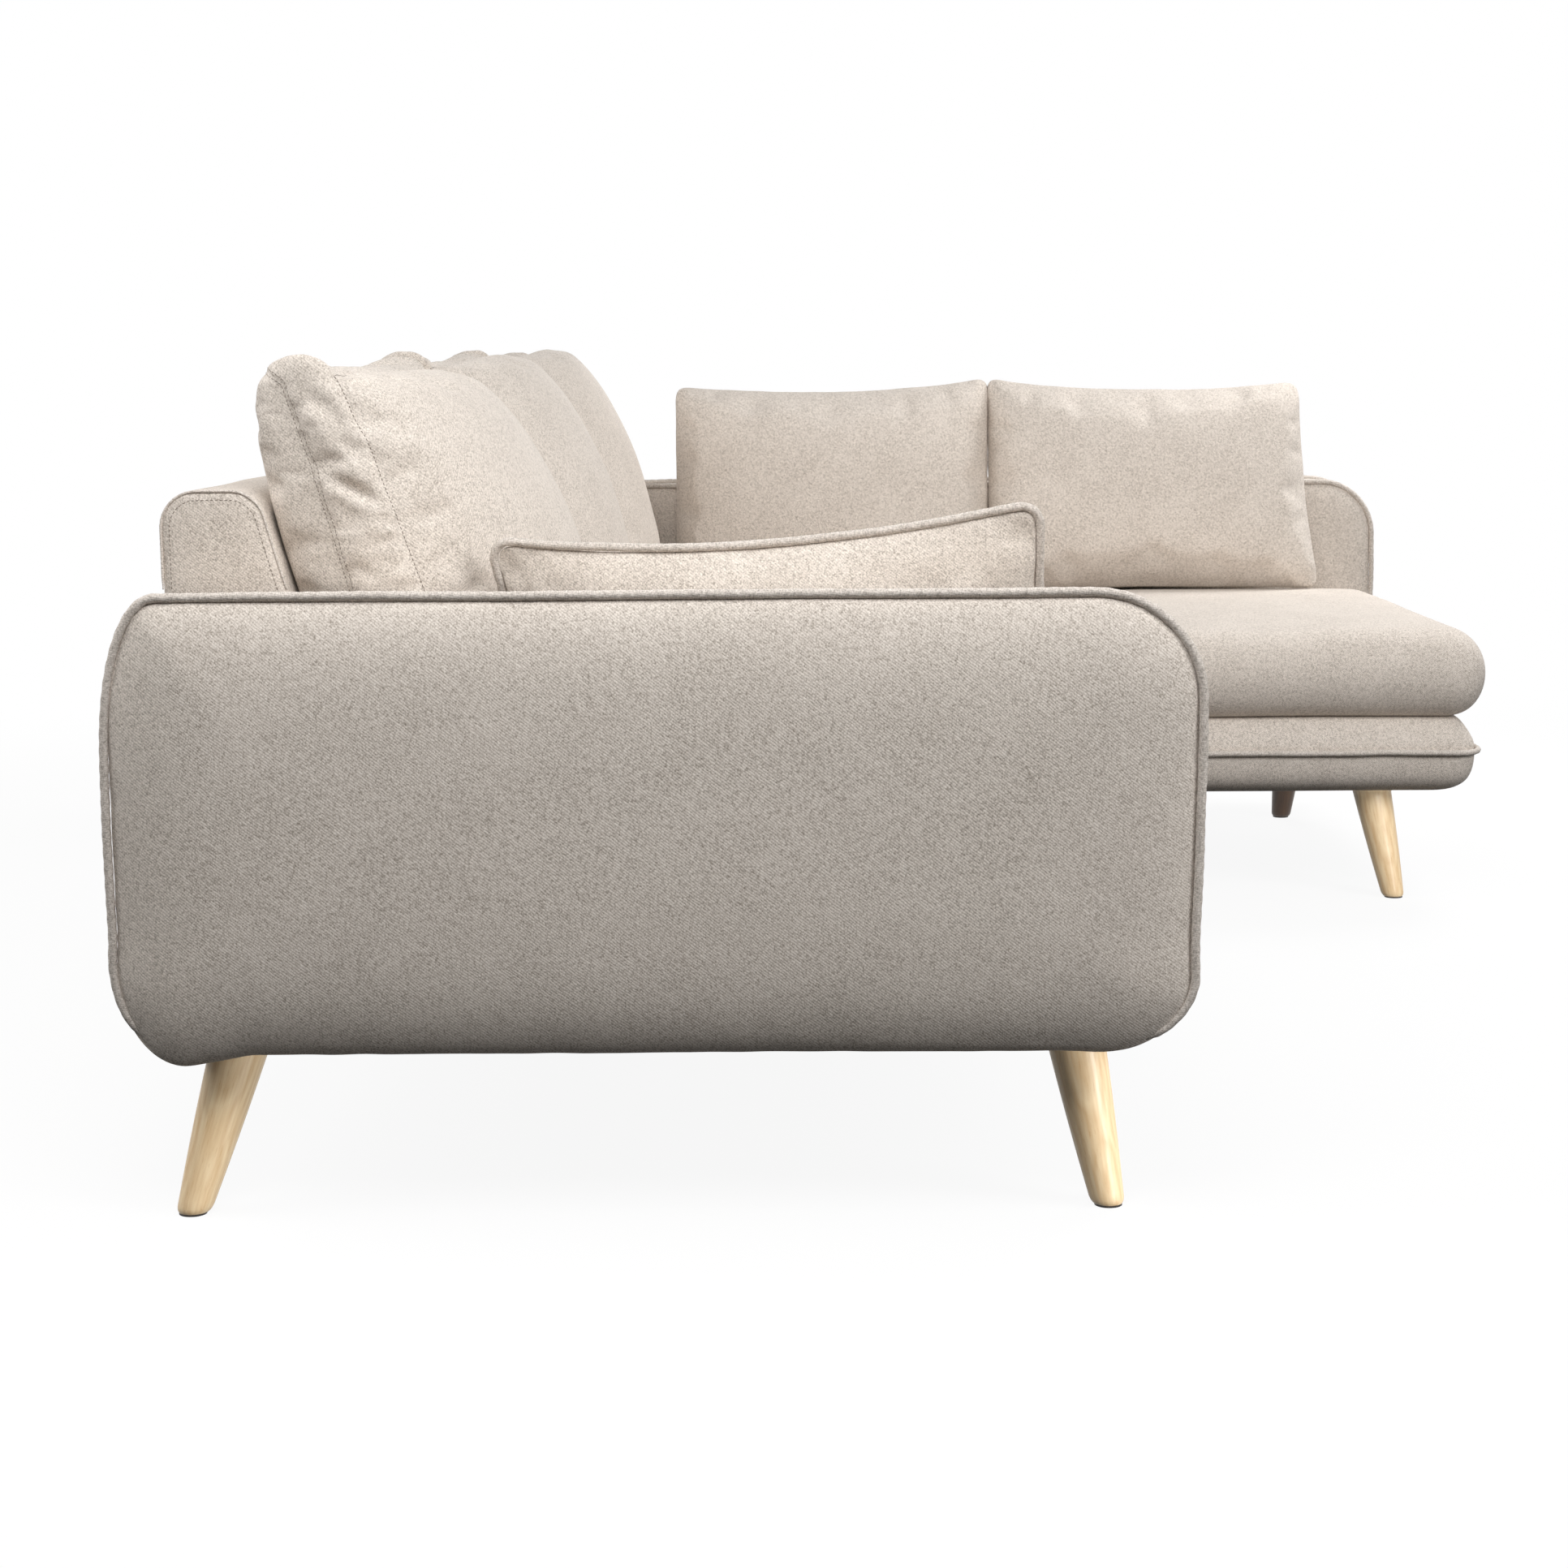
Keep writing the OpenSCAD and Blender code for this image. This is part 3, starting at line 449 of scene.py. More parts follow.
@dataclass(frozen=True)
class Plain:
    """Single-coloured stuff with a fine grain: plated steel, felt, webbing or bonded cloth."""

    name: str
    colour: Colour
    roughness: float
    metallic: float = 0.0
    grain: float = 400.0
    spread: float = 0.35
    relief: float = 0.0002

    def build(self) -> bpy.types.Material:
        """Makes the material.

        Returns:
            The stuff's material.
        """
        tree = Tree(self.name)
        speck = tree.noise(tree.place(), self.grain, 3.0)
        low = srgb(*(value * (1 - self.spread) for value in self.colour))
        colour = tree.mix(speck, low, srgb(*self.colour))
        return tree.surface({"Base Color": colour, "Roughness": self.roughness + 0.12 * speck,
                             "Metallic": self.metallic, "Normal": tree.bump(speck, self.relief, 0.5)})


@dataclass(frozen=True)
class Strap:
    """Elastic webbing: dark ribs that run slantwise over the straps."""

    name: str
    pitch: float = 0.003
    dark: Colour = (26, 26, 28)
    light: Colour = (70, 68, 66)
    relief: float = 0.0004

    def build(self) -> bpy.types.Material:
        """Makes the material.

        Returns:
            The webbing's material.
        """
        tree = Tree(self.name)
        x, y, _ = tree.place().parts()
        turn = (x + y) * (2 * math.pi / self.pitch)
        rib = tree.node("ShaderNodeMath", {"operation": "SINE"}, {0: turn})
        colour = tree.mix(rib * 0.5 + 0.5, srgb(*self.dark), srgb(*self.light))
        return tree.surface({"Base Color": colour, "Roughness": 0.75 + 0.1 * rib,
                             "Normal": tree.bump(rib, self.relief, 0.6)})


# Mesh building


def eased(count: int, pull: float = 0.45, tight: float = 0.0) -> Points:
    """Steps from 0 to 1 that close up towards both ends.

    Args:
        count: how many steps.
        pull: 0 for equal steps, 1 for steps that vanish at the ends.
        tight: share of the first step, where a seam lies along the ends; 0 for none.

    Returns:
        count + 1 shares.
    """
    if tight:
        ends = tight * np.array([0.0, 1.0, 2.5])
        middle = 5 * tight + (1 - 10 * tight) * eased(count - 6, pull)
        return np.concatenate([ends, middle, 1 - ends[::-1]])
    share = np.linspace(0, 1, count + 1)
    return (1 - pull) * share + pull * (1 - np.cos(math.pi * share)) / 2


def curve(place: Points, rows: Sequence[Pair]) -> Points:
    """Reads a smooth curve that runs through known places.

    Args:
        place: where it is read.
        rows: places with their values, from the lowest place.

    Returns:
        The curve's value at each place.
    """
    at, value = np.array(rows).T
    slope = np.gradient(value, at)
    k = np.clip(np.searchsorted(at, place) - 1, 0, len(at) - 2)
    width = at[k + 1] - at[k]
    s = np.clip((place - at[k]) / width, 0, 1)
    return ((2 * s ** 3 - 3 * s ** 2 + 1) * value[k] + (s ** 3 - 2 * s ** 2 + s) * width * slope[k]
            + (3 * s ** 2 - 2 * s ** 3) * value[k + 1] + (s ** 3 - s ** 2) * width * slope[k + 1])


def resample(path: Points, shares: Points) -> Points:
    """Finds points along an open path.

    Args:
        path: the path's points.
        shares: shares of its length at which points are wanted.

    Returns:
        The points at these shares.
    """
    steps = np.linalg.norm(np.diff(path, axis=0), axis=1)
    along = np.concatenate([[0.0], np.cumsum(steps)]) / steps.sum()
    return np.stack([np.interp(shares, along, path[:, k]) for k in range(path.shape[1])], axis=1)


def grain_noise(points: Points, wave: float, seed: float) -> Points:
    """Smooth noise between about -1 and 1 at each point.

    Args:
        points: places, n by 3.
        wave: length of one swell, in metres.
        seed: shifts the pattern.

    Returns:
        One value for each point.
    """
    shift = Vector((seed * 7.31, seed * 3.17, seed * 5.71))
    return np.array([noise.noise(Vector(p) / wave + shift) for p in points])


@dataclass(frozen=True)
class Outline:
    """Closed flat outline with four rounded corners, anticlockwise from the lowest values.

    Each round is the length of its curve along the side before the corner and along the side after it.
    """

    corners: tuple[Pair, Pair, Pair, Pair]
    rounds: tuple[Pair, Pair, Pair, Pair]

    @staticmethod
    def box(low: Pair, high: Pair, rounds: tuple[Pair, Pair, Pair, Pair]) -> "Outline":
        """Outline of an upright rectangle."""
        return Outline((low, (high[0], low[1]), high, (low[0], high[1])), rounds)

    def arcs(self, fine: int = 24) -> list[Points]:
        """Draws the four corner curves.

        Args:
            fine: steps from the start of a curve to its middle.

        Returns:
            The curves, each of 2 fine + 1 points.
        """
        turn = np.linspace(0, math.pi / 2, 2 * fine + 1)[:, None]
        found = []
        for k in range(4):
            before, corner, after = (np.array(self.corners[(k + s) % 4]) for s in (-1, 0, 1))
            back = (before - corner) / np.linalg.norm(before - corner) * self.rounds[k][0]
            ahead = (after - corner) / np.linalg.norm(after - corner) * self.rounds[k][1]
            found.append(corner + back * (1 - np.sin(turn)) + ahead * (1 - np.cos(turn)))
        return found

    def border(self, form: "Boxed") -> Points:
        """Draws the border of a form's sheet, with the grid's corners in the middle of the rounded ones.

        Args:
            form: the form whose steps are followed.

        Returns:
            The border's points, anticlockwise from the first corner.
        """
        arcs = self.arcs()
        middle = len(arcs[0]) // 2
        sides = []
        for k, shares in enumerate((form.us, form.vs, form.us, form.vs)):
            path = np.vstack([arcs[k][middle:], arcs[(k + 1) % 4][:middle + 1]])
            sides.append(resample(path, shares)[:-1])
        return np.vstack(sides)

    def over(self, start: float, end: float, step: float) -> Points:
        """Open path over the top, from a share of the second corner to a share of the first.

        Args:
            start: share of the second corner's curve that is left out.
            end: share of the first corner's curve that is left out.
            step: distance between points.

        Returns:
            The path's points.
        """
        arcs = self.arcs()
        skip_start = int(start * len(arcs[1]))
        skip_end = len(arcs[0]) - int(end * len(arcs[0]))
        path = np.vstack([arcs[1][skip_start:], arcs[2], arcs[3], arcs[0][:skip_end]])
        length = np.linalg.norm(np.diff(path, axis=0), axis=1).sum()
        return resample(path, np.linspace(0, 1, int(length / step) + 1))


def grown(border: Points, amount: float | Points, closed: bool = True) -> Points:
    """Moves a flat path to its right hand side, which is outwards on an anticlockwise outline.

    Args:
        border: the path's points.
        amount: how far they move, or a column of one distance for each.
        closed: whether the path is a ring.

    Returns:
        The moved points.
    """
    if closed:
        ahead = np.roll(border, -1, axis=0) - np.roll(border, 1, axis=0)
    else:
        ahead = np.gradient(border, axis=0)
    ahead /= np.maximum(np.linalg.norm(ahead, axis=1, keepdims=True), 1e-9)
    return border + amount * np.stack([ahead[:, 1], -ahead[:, 0]], axis=1)


def lifted(flat: Points, plane: Plane, level: float | Points) -> Points:
    """Puts a flat path into space.

    Args:
        flat: places in the plane.
        plane: the plane that it is drawn in.
        level: where that plane lies.

    Returns:
        The places in space.
    """
    first, second, facing = plane.value
    made = np.empty((len(flat), 3))
    made[:, first] = flat[:, 0]
    made[:, second] = flat[:, 1]
    made[:, facing] = level
    return made


@dataclass
class Boxed:
    """Form of two sheets of nu by nv cells, joined by a band of rows.

    The cells are tight along the seams: tight holds the first step's share along a sheet's two
    directions and across the band.
    """

    nu: int
    nv: int
    rows: int
    pull: float = 0.45
    tight: tuple[float, float, float] = (0.0, 0.0, 0.0)
    open_below: bool = False
    points: Points = field(default_factory=lambda: np.zeros((0, 3)))

    @property
    def us(self) -> Points:
        """Shares along a sheet's first direction."""
        return eased(self.nu, self.pull, self.tight[0])

    @property
    def vs(self) -> Points:
        """Shares along a sheet's second direction."""
        return eased(self.nv, self.pull, self.tight[1])

    @property
    def ws(self) -> Points:
        """Shares across the band."""
        return eased(self.rows, self.pull, self.tight[2])

    @property
    def rim(self) -> int:
        """Points round a sheet's border."""
        return 2 * (self.nu + self.nv)

    @property
    def sheet_size(self) -> int:
        """Points of a sheet."""
        return (self.nu + 1) * (self.nv + 1)

    def slots(self) -> Points:
        """Finds the grid places of the border.

        Returns:
            A place along both directions for each point, anticlockwise from the first corner.
        """
        nu, nv = self.nu, self.nv
        return np.array([(i, 0) for i in range(nu)] + [(nu, j) for j in range(nv)]
                        + [(nu - i, nv) for i in range(nu)] + [(0, nv - j) for j in range(nv)])

    def seam(self, sheet: int) -> Points:
        """Numbers of the points on a sheet's border."""
        slots = self.slots()
        return sheet * self.sheet_size + slots[:, 1] * (self.nu + 1) + slots[:, 0]

    def ring(self, row: int) -> Points:
        """Finds a row of the band.

        Args:
            row: which row, from the first sheet's seam.

        Returns:
            Numbers of its points.
        """
        if row == 0:
            return self.seam(0)
        if row == self.rows:
            return self.seam(1)
        return 2 * self.sheet_size + (row - 1) * self.rim + np.arange(self.rim)

    def quads(self) -> Points:
        """Joins the points into faces.

        Returns:
            All faces, turned outwards.
        """
        grid = np.arange(self.sheet_size).reshape(self.nv + 1, self.nu + 1)
        around = (grid[:-1, :-1], grid[:-1, 1:], grid[1:, 1:], grid[1:, :-1])
        cells = np.stack(around, axis=-1).reshape(-1, 4)
        parts = [cells[:, ::-1], cells + self.sheet_size]
        for row in range(self.rows):
            low, high = self.ring(row), self.ring(row + 1)
            parts.append(np.stack([low, np.roll(low, -1), np.roll(high, -1), high], axis=1))
        faces = np.vstack(parts)
        turned = faces if volume(self.points, faces) > 0 else faces[:, ::-1]
        return turned[len(cells):] if self.open_below else turned

    def spread(self) -> tuple[Points, Points]:
        """Places u and v from -1 to 1 of a sheet's points."""
        uu, vv = np.meshgrid(2 * self.us - 1, 2 * self.vs - 1)
        return uu.ravel(), vv.ravel()

    def follow(self, rule: Rule) -> "Boxed":
        """Places all points by a rule.

        Args:
            rule: takes u and v from -1 to 1 over a sheet, and w from 0 to 1 through the form.

        Returns:
            The form itself.
        """
        flat_u, flat_v = self.spread()
        slots = self.slots()
        rim_u, rim_v = 2 * self.us[slots[:, 0]] - 1, 2 * self.vs[slots[:, 1]] - 1
        parts = [rule(flat_u, flat_v, np.full(len(flat_u), w)) for w in (0.0, 1.0)]
        parts += [rule(rim_u, rim_v, np.full(len(rim_u), w)) for w in self.ws[1:-1]]
        self.points = np.vstack(parts)
        return self

    def skin(self, rings: Sequence[Points]) -> "Boxed":
        """Places the band on given rings and fills the two sheets between their borders.

        Args:
            rings: one ring of points for each row.

        Returns:
            The form itself.
        """
        parts = [self._fill(rings[0]), self._fill(rings[-1]), *rings[1:-1]]
        self.points = np.vstack(parts)
        return self

    def _fill(self, border: Points) -> Points:
        """Spreads a smooth sheet between four sides.

        Args:
            border: points of the sides, anticlockwise from the first corner.

        Returns:
            The sheet's points.
        """
        nu, nv = self.nu, self.nv
        bottom = border[:nu + 1]
        right = border[nu:nu + nv + 1]
        top = border[nu + nv:2 * nu + nv + 1][::-1]
        left = np.vstack([border[2 * nu + nv:], border[:1]])[::-1]
        u = self.us[None, :, None]
        v = self.vs[:, None, None]
        across = (1 - v) * bottom[None] + v * top[None]
        along = (1 - u) * left[:, None] + u * right[:, None]
        corners = ((1 - u) * (1 - v) * bottom[0] + u * (1 - v) * bottom[-1]
                   + u * v * top[-1] + (1 - u) * v * top[0])
        return (across + along - corners).reshape(-1, 3)

    def sheet(self, which: int) -> slice:
        """Range of a sheet's points."""
        return slice(which * self.sheet_size, (which + 1) * self.sheet_size)


def rotation(degrees: float, axis: str) -> Matrix:
    """Turn about one axis, as a matrix of four rows."""
    return Matrix.Rotation(math.radians(degrees), 4, axis)


def volume(points: Points, faces: Points) -> float:
    """Measures the volume inside four-sided faces.

    Args:
        points: places of all points.
        faces: the points of each face.

    Returns:
        The volume, below zero where the faces are turned inwards.
    """
    a, b, c, d = (points[faces[:, k]] for k in range(4))
    halves = (np.einsum("ij,ij->i", a, np.cross(b, c)) + np.einsum("ij,ij->i", a, np.cross(c, d)))
    return float(halves.sum() / 6)


def normals(points: Points, faces: Points) -> Points:
    """Finds the outward direction at each point.

    Args:
        points: places of all points.
        faces: the points of each face.

    Returns:
        One direction of length 1 for each point.
    """
    a, b, c, d = (points[faces[:, k]] for k in range(4))
    faced = np.cross(c - a, d - b)
    summed = np.zeros_like(points)
    for k in range(4):
        np.add.at(summed, faces[:, k], faced)
    return summed / np.maximum(np.linalg.norm(summed, axis=1, keepdims=True), 1e-12)


def nearest(points: Points, line: Points, batch: int = 2000) -> tuple[Points, Points]:
    """Finds the nearest point of a line for each point.

    Args:
        points: places that are asked about.
        line: the line's points.
        batch: how many are compared at once.

    Returns:
        The distances, and the numbers of the line's points.
    """
    gaps = np.empty(len(points))
    which = np.empty(len(points), int)
    for start in range(0, len(points), batch):
        part = slice(start, start + batch)
        squares = ((points[part][:, None, :] - line[None, :, :]) ** 2).sum(axis=2)
        which[part] = squares.argmin(axis=1)
        gaps[part] = np.sqrt(squares.min(axis=1))
    return gaps, which


def new_object(name: str, points: Points, faces: Points | Sequence[Sequence[int]],
               material: bpy.types.Material) -> bpy.types.Object:
    """Makes a smooth mesh object in the row frame.

    Args:
        name: name of the piece.
        points: places of its points.
        faces: the points of each face.
        material: its finish.

    Returns:
        The piece.
    """
    mesh = bpy.data.meshes.new(name)
    mesh.from_pydata([tuple(p) for p in points], [], [tuple(int(i) for i in f) for f in faces])
    mesh.materials.append(material)
    mesh.polygons.foreach_set("use_smooth", [True] * len(mesh.polygons))
    mesh.update()
    made = bpy.data.objects.new(name, mesh)
    bpy.context.scene.collection.objects.link(made)
    return made


def soften(piece: bpy.types.Object) -> None:
    """Adds one level of a subdivision surface.

    Args:
        piece: the piece that gets it.
    """
    modifier = piece.modifiers.new("rounding", "SUBSURF")
    modifier.levels = 1
    modifier.render_levels = 1


@dataclass(frozen=True)
class Padding:
    """How a stuffed cover swells: air pressure, spare cloth, steps and the most that a point may move."""

    pressure: float = 4.0
    spare: float = 0.03
    steps: int = 20
    most: float = 0.012
    bending: float = 2.0
    stretching: float = 15.0
    shearing: float = 5.0
    mass: float = 0.3
    quality: int = 6

    def swell(self, name: str, points: Points, faces: Points, held: Points) -> Points:
        """Simulates the cover between its held seams.

        Args:
            name: name of the piece.
            points: places at rest.
            faces: the cover's faces.
            held: numbers of the points that are sewn and stay.

        Returns:
            The places after swelling.
        """
        scene = bpy.context.scene
        trial = new_object(name + "_trial", points, faces, bpy.data.materials[0])
        group = trial.vertex_groups.new(name="seams")
        group.add([int(i) for i in held], 1.0, "REPLACE")
        cloth = trial.modifiers.new("cloth", "CLOTH")
        settings = cloth.settings
        settings.quality = self.quality
        settings.mass = self.mass
        settings.tension_stiffness = settings.compression_stiffness = self.stretching
        settings.shear_stiffness = self.shearing
        settings.bending_stiffness = self.bending
        settings.use_pressure = True
        settings.uniform_pressure_force = self.pressure
        settings.shrink_min = -self.spare
        settings.effector_weights.gravity = 0
        settings.vertex_group_mass = "seams"
        cloth.collision_settings.use_collision = False
        cloth.point_cache.frame_start = 1
        cloth.point_cache.frame_end = self.steps
        for step in range(1, self.steps + 1):
            scene.frame_set(step)
        graph = bpy.context.evaluated_depsgraph_get()
        swollen = trial.evaluated_get(graph)
        flat = np.empty(len(points) * 3)
        swollen.data.vertices.foreach_get("co", flat)
        moved = flat.reshape(-1, 3) - points
        bpy.data.objects.remove(trial)
        scene.frame_set(1)
        length = np.linalg.norm(moved, axis=1, keepdims=True)
        capped = moved * np.minimum(1.0, self.most / np.maximum(length, 1e-9))
        return points + capped


@dataclass(frozen=True)
class Crease:
    """One crease of a cover: its two ends, its depth in the middle and half its width."""

    start: tuple[float, float, float]
    end: tuple[float, float, float]
    depth: float
    width: float


@dataclass
class Cover:
    """A closed upholstered form and what the making does to it."""

    name: str
    form: Boxed
    seed: float
    faces: Points = field(init=False)

    def __post_init__(self) -> None:
        """Keeps the faces, which the later steps share."""
        self.faces = self.form.quads()

    @property
    def points(self) -> Points:
        """Places of all points."""
        return self.form.points

    def push(self, amount: Points) -> None:
        """Moves each point along its normal."""
        self.form.points = self.points + normals(self.points, self.faces) * amount[:, None]

    def crown(self, sheet: int, axis: int, height: float, reach: float) -> None:
        """Swells a sheet along an axis, steeply at its border and flat in its middle.

        Args:
            sheet: 0 or 1.
            axis: number of the axis.
            height: how far its middle moves.
            reach: distance from the seam over which it rises.
        """
        part = self.form.sheet(sheet)
        gap, _ = nearest(self.points[part], self.points[self.form.seam(sheet)])
        self.form.points[part, axis] += height * (1 - np.exp(-gap / reach))

    def undulate(self, height: float, wave: float) -> None:
        """Adds the slow swells of stuffing under cloth."""
        self.push(height * grain_noise(self.points, wave, self.seed))

    def gather(self, line: Points, depth: float, width: float, pucker: float, pitch: float,
               reach: float, calm: float = 0.004) -> None:
        """Draws the cloth in at a seam, with small puckers across it.

        Args:
            line: places of the seam.
            depth: how deep the seam sinks.
            width: half width of that valley.
            pucker: height of the puckers.
            pitch: distance between them.
            reach: how far they run from the seam.
            calm: distance from the seam at which they begin.
        """
        gap, which = nearest(self.points, line)
        steps = np.linalg.norm(np.diff(line, axis=0, prepend=line[-1:]), axis=1)
        along = np.cumsum(steps)[which] / pitch
        ripple = np.array([noise.noise(Vector((a, self.seed * 3.3, g / (3 * reach))))
                           for a, g in zip(along, gap)])
        amount = -depth * np.exp(-(gap / width) ** 2)
        amount += pucker * ripple * np.exp(-gap / reach) * (1 - np.exp(-(gap / calm) ** 2))
        self.push(amount)

    def fold(self, crease: Crease) -> None:
        """Presses one soft crease along its line, with a ridge beside it.

        Args:
            crease: where it lies, how deep and how wide it is.
        """
        a, b = np.array(crease.start), np.array(crease.end)
        share = np.clip((self.points - a) @ (b - a) / ((b - a) @ (b - a)), 0, 1)
        gap = np.linalg.norm(self.points - (a + share[:, None] * (b - a)), axis=1)
        fade = np.sin(math.pi * np.clip(share * 0.86 + 0.07, 0, 1)) ** 0.7
        width = crease.width
        trough = np.exp(-(gap / width) ** 2) - 0.45 * np.exp(-((gap - 2 * width) / width) ** 2)
        self.push(-crease.depth * fade * trough)

    def stuff(self, padding: Padding, held: Points) -> None:
        self.form.points = padding.swell(self.name, self.points, self.faces, held)

    def limit(self, low: Sequence[float | None], high: Sequence[float | None]) -> None:
        """Keeps the points inside a box.

        Args:
            low: the lowest place along each axis, or None for a side that is open.
            high: the highest place along each axis, or None.
        """
        for axis in range(3):
            if low[axis] is not None:
                self.form.points[:, axis] = np.maximum(self.points[:, axis], low[axis])
            if high[axis] is not None:
                self.form.points[:, axis] = np.minimum(self.points[:, axis], high[axis])

    def finish(self, material: bpy.types.Material, body: str, node: str) -> bpy.types.Object:
        """Makes the object, on its body and in place of its solid.

        Args:
            material: the cover's cloth.
            body: the body that it rides on.
            node: the solid that it stands for.

        Returns:
            The finished piece.
        """
        piece = new_object(self.name, self.points, self.faces, material)
        soften(piece)
        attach(piece, body)
        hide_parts(node)
        log.info("%s: %d faces", self.name, len(self.faces))
        return piece


@dataclass(frozen=True)
class Cord:
    """Covered piping: a round cord in twisted cloth that wanders a little along its seam."""

    radius: float = 0.0044
    sides: int = 10
    step: float = 0.0026
    ridge: float = 0.05
    twist: float = 0.016
    wander: float = 0.0011
    waves: Pair = (0.07, 0.05)
    end_taper: float = 0.012

    def sweep(self, name: str, path: Points, facing: Sequence[float], seed: float, closed: bool,
              material: bpy.types.Material) -> bpy.types.Object:
        """Makes a tube along a path.

        Args:
            name: name of the piece.
            path: points of its middle.
            facing: direction that the plane of the path faces.
            seed: shifts the wandering.
            closed: whether the path is a ring.
            material: the piping's cloth.

        Returns:
            The tube's object.
        """
        ends = path[[0]] if closed else np.zeros((0, 3))
        length = np.linalg.norm(np.diff(np.vstack([path, ends]), axis=0), axis=1).sum()
        count = int(length / self.step)
        shares = np.linspace(0, 1, count + 1)
        line = resample(np.vstack([path, ends]), shares)[:count if closed else count + 1]
        if closed:
            ahead = np.roll(line, -1, axis=0) - np.roll(line, 1, axis=0)
        else:
            ahead = np.gradient(line, axis=0)
        ahead /= np.linalg.norm(ahead, axis=1, keepdims=True)
        up = np.tile(np.array(facing, float), (len(line), 1))
        side = np.cross(ahead, up)
        side /= np.linalg.norm(side, axis=1, keepdims=True)
        up = np.cross(side, ahead)
        line = line + side * (self.wander * grain_noise(line, self.waves[0], seed))[:, None]
        line = line + up * (self.wander * 0.6 * grain_noise(line, self.waves[1], seed + 9))[:, None]
        along = np.arange(len(line)) * self.step
        turn = np.linspace(0, 2 * math.pi, self.sides, endpoint=False)
        ripple = 1 + self.ridge * np.sin(2 * turn[None, :] + along[:, None] * 2 * math.pi / self.twist)
        taper = np.ones(len(line))
        if not closed:
            from_end = np.minimum(along, along[-1] - along)
            taper = np.clip(from_end / self.end_taper, 0.25, 1) ** 0.5
        size = self.radius * ripple * taper[:, None]
        outward = (np.cos(turn)[None, :, None] * side[:, None, :]
                   + np.sin(turn)[None, :, None] * up[:, None, :])
        rings = line[:, None, :] + size[..., None] * outward
        count, sides = len(line), self.sides
        faces = []
        for j in range(count if closed else count - 1):
            here, there = j * sides, (j + 1) % count * sides
            for k in range(sides):
                after = (k + 1) % sides
                faces.append((here + k, here + after, there + after, there + k))
        if not closed:
            faces.append(tuple(range(sides))[::-1])
            faces.append(tuple((count - 1) * sides + k for k in range(sides)))
        return new_object(name, rings.reshape(-1, 3), faces, material)


@dataclass
class Shop:
    """Finishes made once and shared by all pieces."""

    cover: bpy.types.Material = field(init=False)
    piping: bpy.types.Material = field(init=False)
    thread: bpy.types.Material = field(init=False)
    oak: bpy.types.Material = field(init=False)
    dark_oak: bpy.types.Material = field(init=False)
    hidden: dict[str, bpy.types.Material] = field(init=False)

    def __post_init__(self) -> None:
        """Builds every finish."""
        self.cover = Twill("cover_twill").build()
        self.piping = Twill("piping_twill", pitch=0.0020, float_length=0.0026, slope=8.0,
                            light=(240, 232, 224), middle=(212, 203, 194), dark=(158, 149, 140)).build()
        self.thread = Plain("thread", (150, 138, 126), 0.7).build()
        self.oak = Oak("pale_oak").build()
        # A dark brown copy of the pale oak: painted shade for the leg that stands in the sofa's shadow.
        self.dark_oak = Oak("dark_oak", pale=(92, 66, 44), deep=(54, 36, 24)).build()
        self.hidden = {
            Slot.PINE.value: Pine("sawn_pine").build(),
            Slot.STEEL.value: Plain("zinc_plate", (176, 178, 184), 0.3, metallic=1.0, spread=0.15).build(),
            Slot.WEBBING.value: Strap("elastic_webbing").build(),
            Slot.DUST.value: Plain("dust_cloth", (30, 29, 29), 0.85, grain=900.0).build(),
            Slot.GLIDE.value: Plain("glide_plastic", (66, 58, 52), 0.5).build(),
        }

    def dress_nodes(self) -> None:
        """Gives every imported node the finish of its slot."""
        slots = {row["node"]: row["material_slot"] for row in frame["record"]["subparts"]}
        named = {Slot.COVER.value: self.cover, Slot.PIPING.value: self.piping, Slot.OAK.value: self.oak}
        for node, piece in frame["nodes"].items():
            slot = slots[node]
            piece.data.materials.clear()
            piece.data.materials.append(self.hidden.get(slot) or named[slot])


# The sofa's own sub-assemblies


SOFA = "sofa"
PIPE_LAY = 0.0036


